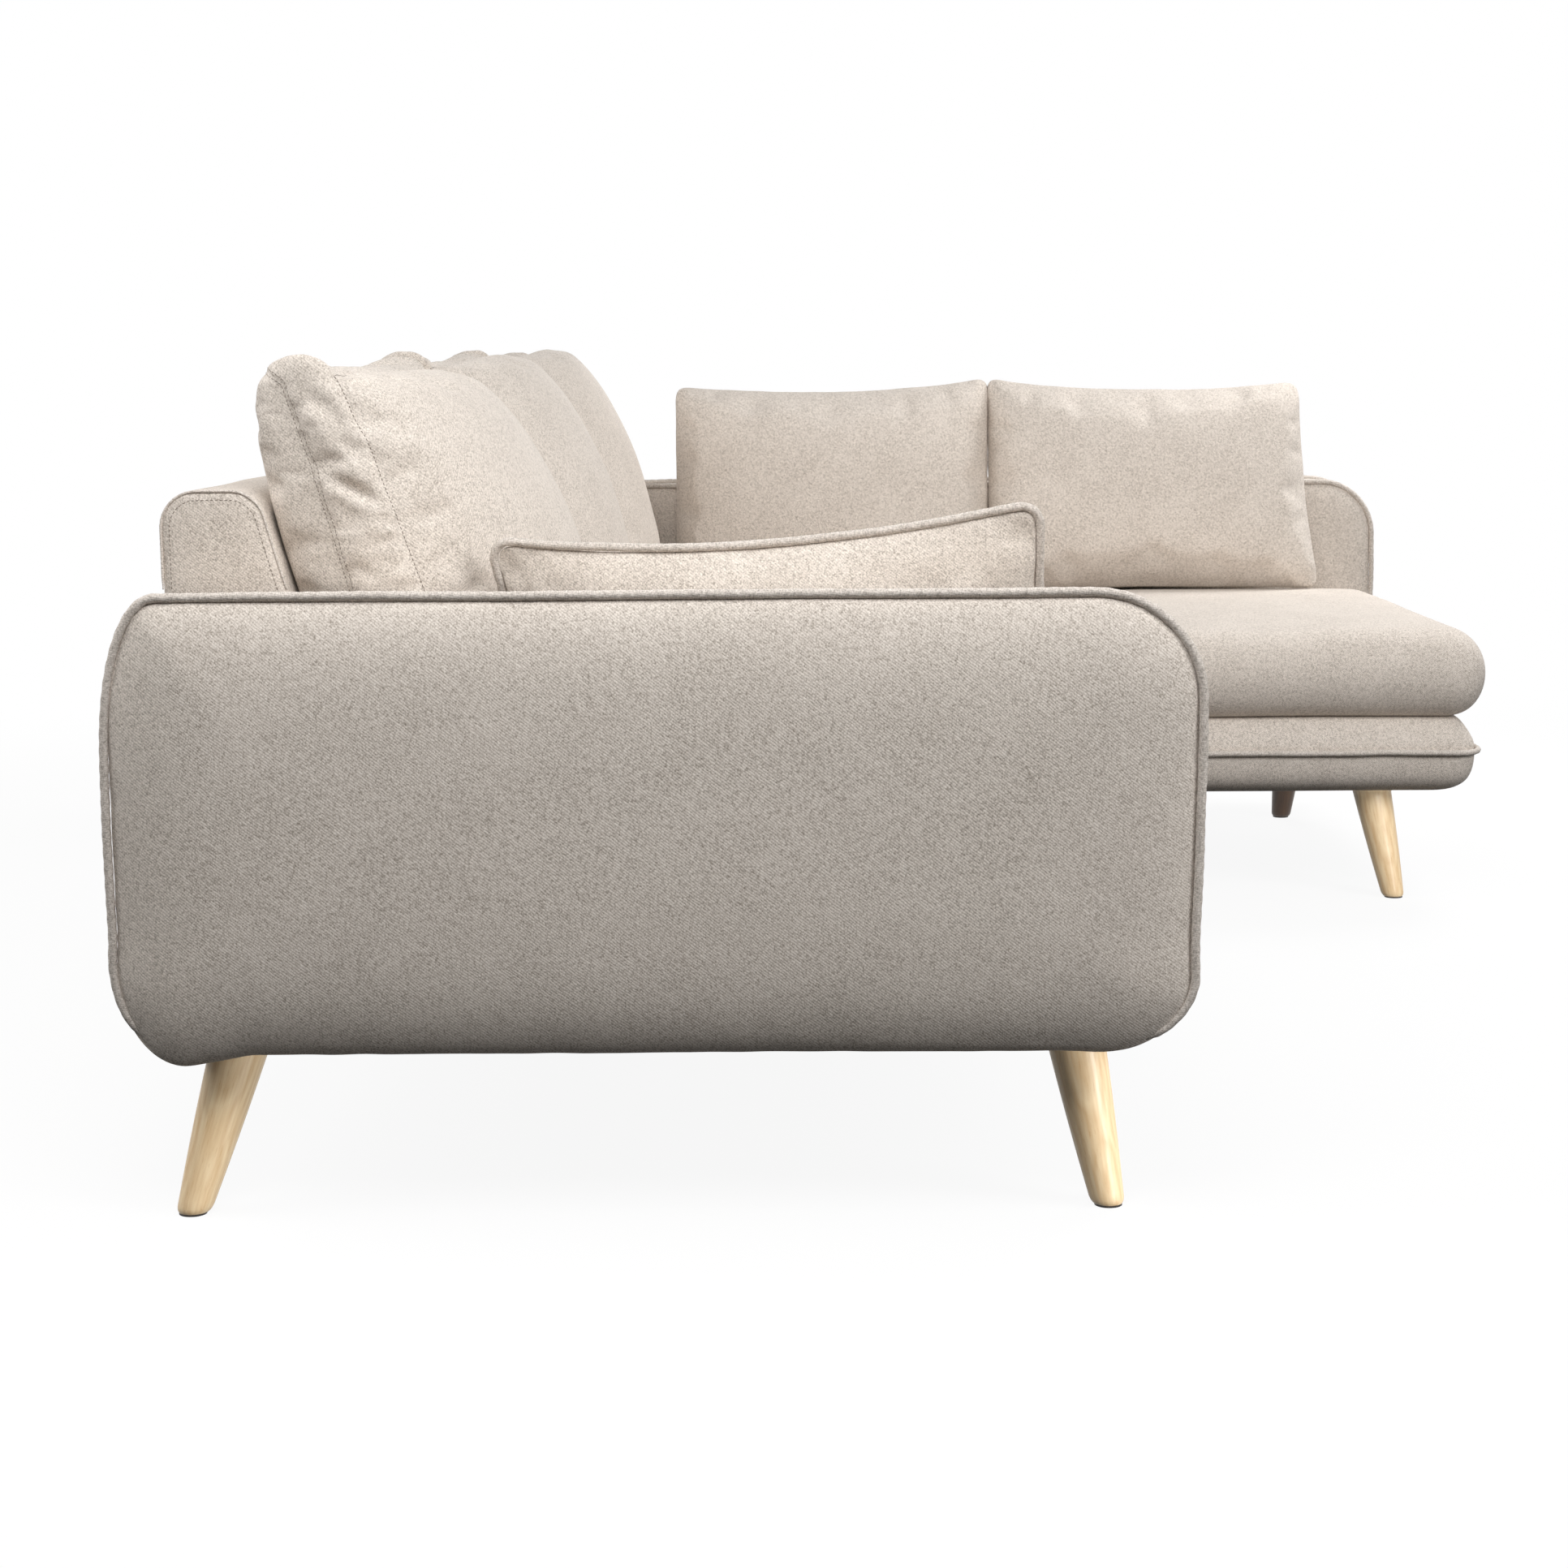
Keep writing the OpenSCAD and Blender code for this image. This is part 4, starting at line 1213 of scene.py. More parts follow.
class Trim:
    """Ways of fixing narrow trim to a body."""

    @staticmethod
    def fix(piece: bpy.types.Object, body: str, node: str = "") -> None:
        """Fixes a piece of piping or thread to its body.

        Args:
            piece: the piece.
            body: the body that it rides on.
            node: the solid that it stands for, if any.
        """
        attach(piece, body)
        if node:
            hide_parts(node)
        log.info("%s: %d faces", piece.name, len(piece.data.polygons))

    @staticmethod
    def stitches(cover: bpy.types.Object, line: Points, name: str, shop: Shop, closed: bool = True,
                 length: float = 0.0032, pitch: float = 0.0046,
                 radius: float = 0.00042) -> bpy.types.Object:
        """Sews a row of short stitches along a line on a cover.

        Args:
            cover: the cover that they lie on.
            line: places near the row.
            name: name of the row's object.
            shop: the finishes.
            closed: whether the row runs on to its start.
            length: length of a stitch.
            pitch: distance from one stitch to the next.
            radius: half the thread's thickness.

        Returns:
            The row as one object.
        """
        sections = ((0.0, 0.15), (0.22, 1.0), (0.78, 1.0), (1.0, 0.15))
        skin = BVHTree.FromObject(cover, bpy.context.evaluated_depsgraph_get())
        row = np.vstack([line, line[:1]]) if closed else line
        total = np.linalg.norm(np.diff(row, axis=0), axis=1).sum()
        count = int(total / pitch)
        starts = resample(row, np.arange(count) / count)
        ends = resample(row, np.arange(count) / count + length / total)
        places, faces = [], []
        for start, end in zip(starts, ends):
            a, facing, _, _ = skin.find_nearest(Vector(start))
            b, _, _, _ = skin.find_nearest(Vector(end))
            along = b - a
            if along.length < length / 3:
                continue
            side = along.normalized().cross(facing).normalized() * radius
            rise = facing * radius * 1.3
            first = len(places)
            for share, size in sections:
                middle = a + along * share
                places += [middle - side * size, middle + rise * size, middle + side * size,
                           middle - rise * 0.5]
            for k in range(len(sections) - 1):
                base = first + 4 * k
                faces += [(base + j, base + (j + 1) % 4, base + 4 + (j + 1) % 4, base + 4 + j)
                          for j in range(4)]
            faces += [(first + 3, first + 2, first + 1, first), tuple(first + 12 + j for j in range(4))]
        return new_object(name, np.array([tuple(p) for p in places]), faces, shop.thread)


@dataclass
class Arm:
    """An arm: outer panel, boxing and inner panel, with piping along both upper seams."""

    name: str
    outward: float
    seed: float
    nu: int
    nv: int = 44
    rows: int = 12
    round_top_front: Pair = (0.098, 0.098)
    round_top_rear: Pair = (0.132, 0.047)
    round_foot_rear: Pair = (0.060, 0.116)
    round_foot_front: Pair = (0.072, 0.085)
    band_swell: float = 0.003
    skip_rear: float = 0.42
    skip_front: float = 0.38
    first: float = 0.003
    ease: float = 0.0012
    foot_draw: float = 0.008
    rear_sag: float = 0.002
    rear_foot: float = 0.0100
    front_foot: float = 0.0036
    end_bow: float = 0.0022
    inner_drop: float = 0.002
    sink: float = 0.008
    sink_reach: float = 0.07
    cord_step: float = 0.006
    outer_reach: float = 0.036
    inner_reach: float = 0.022
    band_first: float = 0.028
    foot_zone: Pair = (0.12, 0.08)
    end_zone: Pair = (0.12, 0.06)
    sag_zone: Pair = (0.13, 0.09)
    sag_high: float = 0.05

    def outline(self, fall: float) -> Outline:
        """Draws a seam in the plane across the sofa, its front foot drawn in a little.

        Args:
            fall: how far the seam's top lies below the arm's.

        Returns:
            The seam's outline.
        """
        low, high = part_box(self.name + "_pad")
        rounds = (self.round_foot_front, self.round_foot_rear, self.round_top_rear, self.round_top_front)
        top = high.z - fall
        corners = ((low.y + self.foot_draw, low.z), (high.y, low.z), (high.y, top), (low.y, top))
        return Outline(corners, rounds)

    def fullness(self, flat: Points) -> Points:
        """Tells how far out the stuffing pushes the lower corners, which carry no cord, and both ends.

        Args:
            flat: places in the plane across the sofa.

        Returns:
            A column of one distance for each place.
        """
        low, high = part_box(self.name + "_pad")
        y, z = flat.T
        foot = np.clip((low.z + self.foot_zone[0] - z) / self.foot_zone[1], 0, 1)
        rear = np.clip((y - high.y + self.end_zone[0]) / self.end_zone[1], 0, 1)
        front = np.clip((low.y + self.end_zone[0] - y) / self.end_zone[1], 0, 1)
        bow = np.sin(math.pi * np.clip((z - low.z) / (high.z - low.z), 0, 1)) ** 2
        corner = foot * foot * (3 - 2 * foot) * (self.rear_foot * rear + self.front_foot * front)
        return (corner + self.end_bow * bow * (rear + front))[:, None]

    def build(self, shop: Shop) -> None:
        """Makes the cover and its two pipings.

        Args:
            shop: the finishes.
        """
        low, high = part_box(self.name + "_pad")
        seams, tops = [], []
        for side in ("outer", "inner"):
            a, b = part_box(f"{self.name}_{side}_piping")
            seams.append((a.x + b.x) / 2)
            tops.append(b.z)
        fall = tops[0] - tops[1]
        first = (self.first / (high.y - low.y), self.first / (high.z - low.z), self.band_first)
        form = Boxed(self.nu, self.nv, self.rows, tight=first)
        drops = (0.0, fall + self.inner_drop)
        outer, inner = (self.outline(drop).border(form) for drop in drops)
        rings = []
        for share in form.ws:
            flat = (1 - share) * outer + share * inner
            swell = self.ease + self.band_swell * math.sin(math.pi * share) + self.fullness(flat)
            level = (1 - share) * seams[0] + share * seams[1]
            rings.append(lifted(grown(flat, swell), Plane.YZ, level))
        cover = Cover(self.name + "_cover", form.skin(rings), self.seed)
        outer_face, inner_face = (low.x, high.x) if self.outward < 0 else (high.x, low.x)
        cover.crown(0, 0, outer_face - seams[0], self.outer_reach)
        cover.crown(1, 0, inner_face - seams[1], self.inner_reach)
        cover.undulate(height=0.0012, wave=0.21)
        for which in (0, 1):
            line = cover.points[form.seam(which)].copy()
            cover.gather(line, depth=0.0022, width=0.0055, pucker=0.0014, pitch=0.03, reach=0.03)
        places = form.points
        rear = np.clip((places[:, 1] - high.y + self.sag_zone[0]) / self.sag_zone[1], 0, 1)
        below = np.clip((low.z + self.sag_high - places[:, 2]) / self.sag_high, 0, 1)
        places[:, 2] -= self.rear_sag * rear * below * (places[:, 1] < high.y - 0.001)
        cover.limit((low.x, None, low.z - self.rear_sag - self.rear_foot), (high.x, None, None))
        cover.finish(shop.cover, SOFA, self.name + "_pad")
        for side, seam, drop in zip(("outer", "inner"), seams, drops):
            flat = self.outline(drop).over(self.skip_rear, self.skip_front, self.cord_step)
            order = np.arange(len(flat))
            away = np.minimum(order, order[::-1])[:, None] * self.cord_step
            sunk = self.sink * np.clip(1 - away / self.sink_reach, 0, 1)
            lay = PIPE_LAY + self.fullness(flat) - sunk
            path = lifted(grown(flat, lay, closed=False), Plane.YZ, seam)
            tube = Cord().sweep(f"{self.name}_{side}_cord", path, (1, 0, 0), self.seed + seam, False,
                                shop.piping)
            Trim.fix(tube, SOFA, f"{self.name}_{side}_piping")


@dataclass
class Base:
    """A unit's upholstered base, widest at the piping that runs round it."""

    name: str
    seed: float
    free_side: bool
    nu: int
    nv: int
    corner: float = 0.042
    tight: float = 0.006
    wave: float = 0.0022
    front_out: float = 0.0
    profile: tuple[Pair, ...] = (
        (-0.0042, 0.058), (-0.0038, 0.045), (-0.0015, 0.033), (0.0025, 0.024), (0.0085, 0.0150),
        (0.0165, 0.0085), (0.027, 0.0040), (0.040, 0.0016), (0.051, 0.0004), (0.0565, 0.0002),
        (0.060, 0.0), (0.0635, 0.0004), (0.070, 0.0014), (0.078, 0.0045), (0.088, 0.0105),
        (0.096, 0.0155), (0.102, 0.0205), (0.106, 0.0245), (0.109, 0.029), (0.1115, 0.037))
    over_webbing: float = 0.003

    def build(self, shop: Shop) -> None:
        """Makes the cover, turned in below and open there, and its piping.

        Args:
            shop: the finishes.
        """
        low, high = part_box(self.name + "_base_pad")
        low.y -= self.front_out
        pipe_low, pipe_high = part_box(self.name + "_base_piping")
        level = (pipe_low.z + pipe_high.z) / 2
        widest = min(range(len(self.profile)), key=lambda row: self.profile[row][1])
        lift = level - self.profile[widest][0]
        form = Boxed(self.nu, self.nv, len(self.profile) - 1, open_below=True)
        rings = []
        for rise, inward in self.profile:
            a = low.x + inward if self.free_side else low.x
            corner = max(self.corner - inward / 2, 0.02) if self.free_side else self.tight
            rounds = ((corner, corner), *((self.tight, self.tight),) * 3)
            plan = Outline.box((a, low.y + inward), (high.x, high.y), rounds).border(form)
            rings.append(lifted(plan, Plane.XY, lift + rise))
        cover = Cover(self.name + "_base_cover", form.skin(rings), self.seed)
        line = cover.points[form.ring(widest)].copy()
        cover.gather(line, depth=0.0018, width=0.006, pucker=0.0010, pitch=0.045, reach=0.02)
        cover.undulate(height=0.0008, wave=0.16)
        cover.limit((low.x, low.y, None), (high.x, high.y, high.z + self.over_webbing))
        cover.finish(shop.cover, SOFA, self.name + "_base_pad")
        place = lifted(self._piping_path(low, high), Plane.XY, level)
        place[:, 2] += self.wave * grain_noise(place, 0.17, self.seed)
        tube = Cord().sweep(self.name + "_base_cord", place, (0, 0, 1), self.seed, False, shop.piping)
        Trim.fix(tube, SOFA, self.name + "_base_piping")

    def _piping_path(self, low: Vector, high: Vector) -> Points:
        """Draws the path of the piping in plan, just outside the cover.

        Args:
            low: the base's lowest corner.
            high: its highest corner.

        Returns:
            The path's points.
        """
        pipe_low, pipe_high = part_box(self.name + "_base_piping")
        if not self.free_side:
            y = (pipe_low.y + pipe_high.y) / 2
            return resample(np.array([(pipe_high.x, y), (pipe_low.x, y)]), np.linspace(0, 1, 200))
        rounds = ((self.corner + PIPE_LAY,) * 2, *((self.tight, self.tight),) * 3)
        lay = (low.x - PIPE_LAY, low.y - PIPE_LAY)
        arc = Outline.box(lay, (high.x, high.y), rounds).arcs()[0]
        path = np.vstack([[(lay[0], pipe_high.y)], arc, [(pipe_high.x, lay[1])]])
        return resample(path, np.linspace(0, 1, 400))


@dataclass
class BackRest:
    """A unit's raked back, rounded over the top, with a seamed panel at a free end."""

    name: str
    seed: float
    nu: int = 14
    nv: int = 30
    rows: int = 60
    round_top_rear: float = 0.037
    round_top_front: float = 0.026
    rake: float = 15.6
    tight: float = 0.006
    end_swell: float = 0.0035
    end_reach: float = 0.012
    rear_out: float = 0.004

    def profile(self) -> Outline:
        """Draws the profile across the sofa.

        Returns:
            The back's outline, with its front leaning by the rake.
        """
        low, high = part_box(self.name + "_back_pad")
        high.y += self.rear_out
        lean = math.tan(math.radians(self.rake))
        top_front = low.y + (high.z - low.z) * lean
        corners = ((low.y, low.z), (high.y, low.z), (high.y, high.z), (top_front, high.z))
        lengths = (self.tight, self.tight, self.round_top_rear, self.round_top_front)
        return Outline(corners, tuple((length, length) for length in lengths))

    def build(self, shop: Shop) -> bpy.types.Object:
        """Makes the cover.

        Args:
            shop: the finishes.

        Returns:
            The cover.
        """
        low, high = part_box(self.name + "_back_pad")
        length = high.x - low.x
        form = Boxed(self.nu, self.nv, self.rows, pull=0.6, tight=(0.015, 0.008, 0.003 / length))
        flat = self.profile().border(form)
        rings = [lifted(flat, Plane.YZ, low.x + self.end_swell + share * (length - 2 * self.end_swell))
                 for share in form.ws]
        cover = Cover(self.name + "_back_cover", form.skin(rings), self.seed)
        cover.crown(0, 0, -self.end_swell, self.end_reach)
        cover.crown(1, 0, self.end_swell, self.end_reach)
        cover.undulate(height=0.0022, wave=0.17)
        for which in (0, 1):
            line = cover.points[form.seam(which)].copy()
            cover.gather(line, depth=0.0020, width=0.004, pucker=0.0012, pitch=0.022, reach=0.02)
        cover.limit((low.x, low.y, low.z), (high.x, high.y + self.rear_out, high.z))
        return cover.finish(shop.cover, SOFA, self.name + "_back_pad")


@dataclass
class BackEndSeam:
    """Seam of the back's near end panel: a flat welt on its edge and a row of stitches inside it."""

    inset: float = 0.0012
    welt: float = 0.0013
    stitch_inset: float = 0.0095

    def build(self, shop: Shop, rest: BackRest, cover: bpy.types.Object) -> None:
        """Makes the welt in place of its solid, and the stitches on the back's cover.

        Args:
            shop: the finishes.
            rest: the back that the panel closes.
            cover: that back's cover.
        """
        low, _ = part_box("run_back_pad")
        pipe_low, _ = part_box("back_end_piping")
        arcs = rest.profile().arcs()
        path = np.vstack([arcs[1][-1:], arcs[2], arcs[3], arcs[0][:1]])
        dense = resample(path, np.linspace(0, 1, 600))
        dense = dense[dense[:, 1] > pipe_low.z]
        cord = Cord(radius=self.welt, wander=0.0004, twist=0.006, ridge=0.12)
        edge = lifted(grown(dense, -self.inset, closed=False), Plane.YZ, low.x + rest.end_swell)
        tube = cord.sweep("back_end_welt", edge, (1, 0, 0), 3.0, False, shop.piping)
        Trim.fix(tube, SOFA, "back_end_piping")
        row = lifted(grown(dense, -self.stitch_inset, closed=False), Plane.YZ, low.x)
        Trim.fix(Trim.stitches(cover, row, "back_end_stitches", shop, closed=False), SOFA)


@dataclass
class SeatPad:
    """A fixed seat pad: crowned top over one cover that rolls round its sides and tucks in below."""

    node: str
    seed: float
    nu: int
    nv: int
    rows: int = 16
    crown: float = 0.009
    bulge_share: float = 0.92
    lip: float = 0.002
    corner: float = 0.012
    corner_share: float = 0.5
    front_out: float = 0.0
    blunt_low: float = 0.74
    blunt_high: float = 0.92
    crown_reach: float = 0.08

    def build(self, shop: Shop) -> None:
        """Makes the cover.

        Args:
            shop: the finishes.
        """
        low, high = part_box(self.node)
        low.y -= self.front_out
        edge_top = high.z - self.crown
        bulge = self.bulge_share * (edge_top - low.z) / 2
        form = Boxed(self.nu, self.nv, self.rows)
        rings = []
        for w in form.ws:
            blunt = self.blunt_low if w < 0.5 else self.blunt_high
            out = math.sin(math.pi * w) ** blunt * bulge
            inward = bulge - out
            turn = self.corner + self.corner_share * (out + self.lip)
            plan = Outline.box((low.x + inward, low.y + inward), (high.x - inward, high.y - inward),
                               ((turn, turn),) * 4).border(form)
            level = low.z + (edge_top - low.z) * (1 - math.cos(math.pi * w)) / 2
            rings.append(lifted(plan, Plane.XY, level))
        cover = Cover(self.node + "_cover", form.skin(rings), self.seed)
        cover.crown(1, 2, self.crown, self.crown_reach)
        cover.undulate(height=0.0022, wave=0.2)
        cover.limit((low.x, low.y, low.z), (high.x, high.y, high.z))
        cover.finish(shop.cover, SOFA, self.node)


@dataclass
class BackCushion:
    """A loose boxed cushion: front and rear panels sewn to a side panel that narrows to the top."""

    place: str
    seed: float
    plump: float
    folds: tuple[Crease, ...] = ()
    nv: int = 44
    nu: int = 60
    rows: int = 16
    rake: float = 15.6
    back_thick: float = 0.094
    rear_gap: float = 0.008
    rear_swell: float = 0.050
    height: float = 0.377
    front_swell: float = 0.122
    gusset_low: float = 0.084
    gusset_high: float = 0.054
    gusset_bow: float = 0.004
    top_back: float = 0.006
    seam_rise: float = 0.010
    side_swell: float = 0.008
    side_draw: float = 0.014
    lid_swell: float = 0.026
    front_share: tuple[Pair, ...] = (
        (0, 0.34), (0.05, 0.69), (0.15, 0.88), (0.3, 0.91), (0.45, 0.9), (0.6, 0.82),
        (0.75, 0.68), (0.85, 0.49), (0.92, 0.37), (0.96, 0.25), (0.98, 0.14), (1, 0))
    rise_share: tuple[Pair, ...] = (
        (0, 0), (0.05, 0.01), (0.15, 0.14), (0.3, 0.3), (0.45, 0.4), (0.6, 0.45),
        (0.75, 0.46), (0.85, 0.47), (0.92, 0.4), (0.96, 0.3), (0.98, 0.19), (1, 0))
    rear_share: tuple[Pair, ...] = (
        (0, 0), (0.03, 0.45), (0.08, 0.75), (0.2, 0.93), (0.4, 1), (0.72, 1),
        (0.85, 0.90), (0.94, 0.78), (0.98, 0.60), (1, 0.42))
    second_row: float = 0.0058
    crest: float = 0.014
    end_power: int = 16
    end_round: float = 0.35
    spare: float = 0.004
    spare_reach: float = 0.02
    padding: Padding = Padding(pressure=3.5, spare=0.035, most=0.009)

    def form(self) -> Boxed:
        """Shapes the cushion, stuffed between its two seams.

        Returns:
            The form with its points in place.
        """
        low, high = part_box("back_cushion_" + self.place)
        _, rest_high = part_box("run_back_pad")
        lean = math.tan(math.radians(self.rake))
        middle = (low.x + high.x) / 2
        half = (high.x - low.x) / 2 - self.side_swell

        def rule(u: Points, v: Points, w: Points) -> Points:
            """Places the points of the cushion.

            Args:
                u: from -1 to 1 along the cushion.
                v: from -1 to 1 up it.
                w: from 0 at its rear panel to 1 at its front panel.

            Returns:
                The places in the row frame.
            """
            t = (v + 1) / 2
            side_z = low.z + self.height * t
            bow = np.maximum(0, 1 - u * u) ** (0.5 + 0.5 * (1 - t) ** 2)
            seam_rear = (rest_high.y - self.back_thick - (rest_high.z - side_z) * lean
                         - self.rear_gap - self.rear_swell + self.top_back * np.clip(5 * t - 4, 0, 1))
            gusset = (self.gusset_low + (self.gusset_high - self.gusset_low) * t
                      + self.gusset_bow * 4 * t * (1 - t))
            full = (1 - u ** self.end_power) ** self.end_round
            rear = seam_rear + (self.rear_swell + 0.003) * full * curve(t, self.rear_share)
            front = seam_rear - gusset - self.front_swell * bow * curve(t, self.front_share)
            up = w * self.front_swell * bow * curve(t, self.rise_share) * self.plump
            side = np.where(np.abs(u) > 0.999, np.sign(u) * self.side_swell * np.sin(math.pi * w), 0)
            lid = np.where(v > 0.999, self.lid_swell * np.sin(math.pi * w) * (0.2 + 0.8 * u ** 6), 0)
            crest = self.crest * full * np.clip((t - 0.85) / 0.15, 0, 1) ** 2 * (1 - w)
            x = middle + u * (half - self.side_draw * (2 * t - 1) ** 2) + side
            return np.stack([x, rear + (front - rear) * w,
                             side_z + self.seam_rise * t * (w - 0.5) + up + lid + crest], axis=1)

        return Boxed(self.nu, self.nv, self.rows, tight=(0.0055, 0.0095, 0.028)).follow(rule)

    def build(self, shop: Shop) -> None:
        """Makes the cushion with its seams.

        Args:
            shop: the finishes.
        """
        node = "back_cushion_" + self.place
        body = self.place + "_back_cushion"
        low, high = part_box(node)
        form = self.form()
        cover = Cover(node + "_cover", form, self.seed)
        seams = [form.seam(0), form.seam(1)]
        held = np.concatenate(seams)
        gap, _ = nearest(cover.points, cover.points[held])
        cover.push(-self.spare * (1 - np.exp(-gap / self.spare_reach)))
        cover.stuff(self.padding, held)
        for crease in self.folds:
            cover.fold(crease)
        for seam in seams:
            cover.gather(cover.points[seam].copy(), depth=0.0030, width=0.0055, pucker=0.0020,
                         pitch=0.03, reach=0.03)
        cover.limit((low.x, None, low.z), (high.x, None, None))
        piece = cover.finish(shop.cover, body, node)
        rear, beside = cover.points[seams[0]], cover.points[form.ring(2)]
        inward = beside - rear
        inward /= np.linalg.norm(inward, axis=1, keepdims=True)
        rows = {"front": cover.points[seams[1]], "rear": rear,
                "rear_second": rear + self.second_row * inward}
        for name, line in rows.items():
            Trim.fix(Trim.stitches(piece, line, f"{node}_stitches_{name}", shop), body)


@dataclass
class Pillow:
    """A knife-edged pillow, fullest in the middle, its sides drawn in between the corners."""

    node: str
    body: str
    seed: float
    width: float
    height: float
    thick: float
    draw_w: float
    draw_foot: float
    draw_top: float
    corner: float = 0.022
    nu: int = 54
    nv: int = 42
    seam: float = 0.003
    fullness: float = 2.5
    steepness: float = 0.5
    ears: tuple[Pair, Pair, Pair, Pair] = ((0, 0), (0, 0), (0, 0), (0, 0))
    flare: float = 0.0
    pucker: float = 0.0030
    padding: Padding = Padding(pressure=2.5, spare=0.03, most=0.008, bending=1.0)

    def edge(self, form: Boxed, out: float = 0.0) -> Points:
        """Outline of the seam in the pillow's own plane, its sides drawn in between the corners.

        Args:
            form: the form whose border it becomes.
            out: how far outside the seam the line lies.

        Returns:
            Places along the pillow's width and height.
        """
        half = np.array([self.width, self.height]) / 2
        flat = Outline.box(tuple(-half), tuple(half), ((self.corner, self.corner),) * 4).border(form)
        u, v = (flat / half).T
        x = flat[:, 0] * (1 - self.draw_w * (1 - v * v))
        draw = np.where(v > 0, self.draw_top, self.draw_foot)
        z = flat[:, 1] * (1 - draw * (1 - u * u))
        for (dx, dz), (su, sv) in zip(self.ears, ((-1, -1), (1, -1), (1, 1), (-1, 1))):
            share = np.clip((1 + su * u) / 2, 0, 1) ** 5 * np.clip((1 + sv * v) / 2, 0, 1) ** 5
            x = x + dx * share
            z = z + dz * share
        x = x + self.flare * np.clip((1 + u) / 2, 0, 1) ** 3 * ((1 - v) / 2) ** 2
        return grown(np.stack([x, z], axis=1), out)

    def build(self, shop: Shop, facing: Matrix, middle: Vector) -> Cover:
        """Makes the pillow.

        Args:
            shop: the finishes.
            facing: turns the pillow from its own plane to its place.
            middle: place of its middle.

        Returns:
            The cover, for trim that follows its seam.
        """
        form = Boxed(self.nu, self.nv, 1, pull=0.5, tight=(0.004 / self.width, 0.004 / self.height, 0.0))
        edge = self.edge(form)
        form.skin([lifted(edge, Plane.XZ, self.seam / 2), lifted(edge, Plane.XZ, -self.seam / 2)])
        u, v = form.spread()
        share = np.maximum(0, (1 - np.abs(u) ** self.fullness) * (1 - np.abs(v) ** self.fullness))
        swell = share ** self.steepness
        for which, side in ((0, 0.5), (1, -0.5)):
            form.points[form.sheet(which), 1] += side * (self.thick - self.seam) * swell
        cover = Cover(self.node + "_cover", form, self.seed)
        held = np.concatenate([form.seam(0), form.seam(1)])
        cover.stuff(self.padding, held)
        form.points = form.points @ np.array(facing.to_3x3()).T + np.array(middle)
        line = cover.points[form.seam(0)].copy()
        cover.gather(line, depth=0.0, width=0.006, pucker=self.pucker, pitch=0.032, reach=0.03)
        cover.undulate(height=0.0020, wave=0.11)
        cover.finish(shop.cover, self.body, self.node)
        return cover


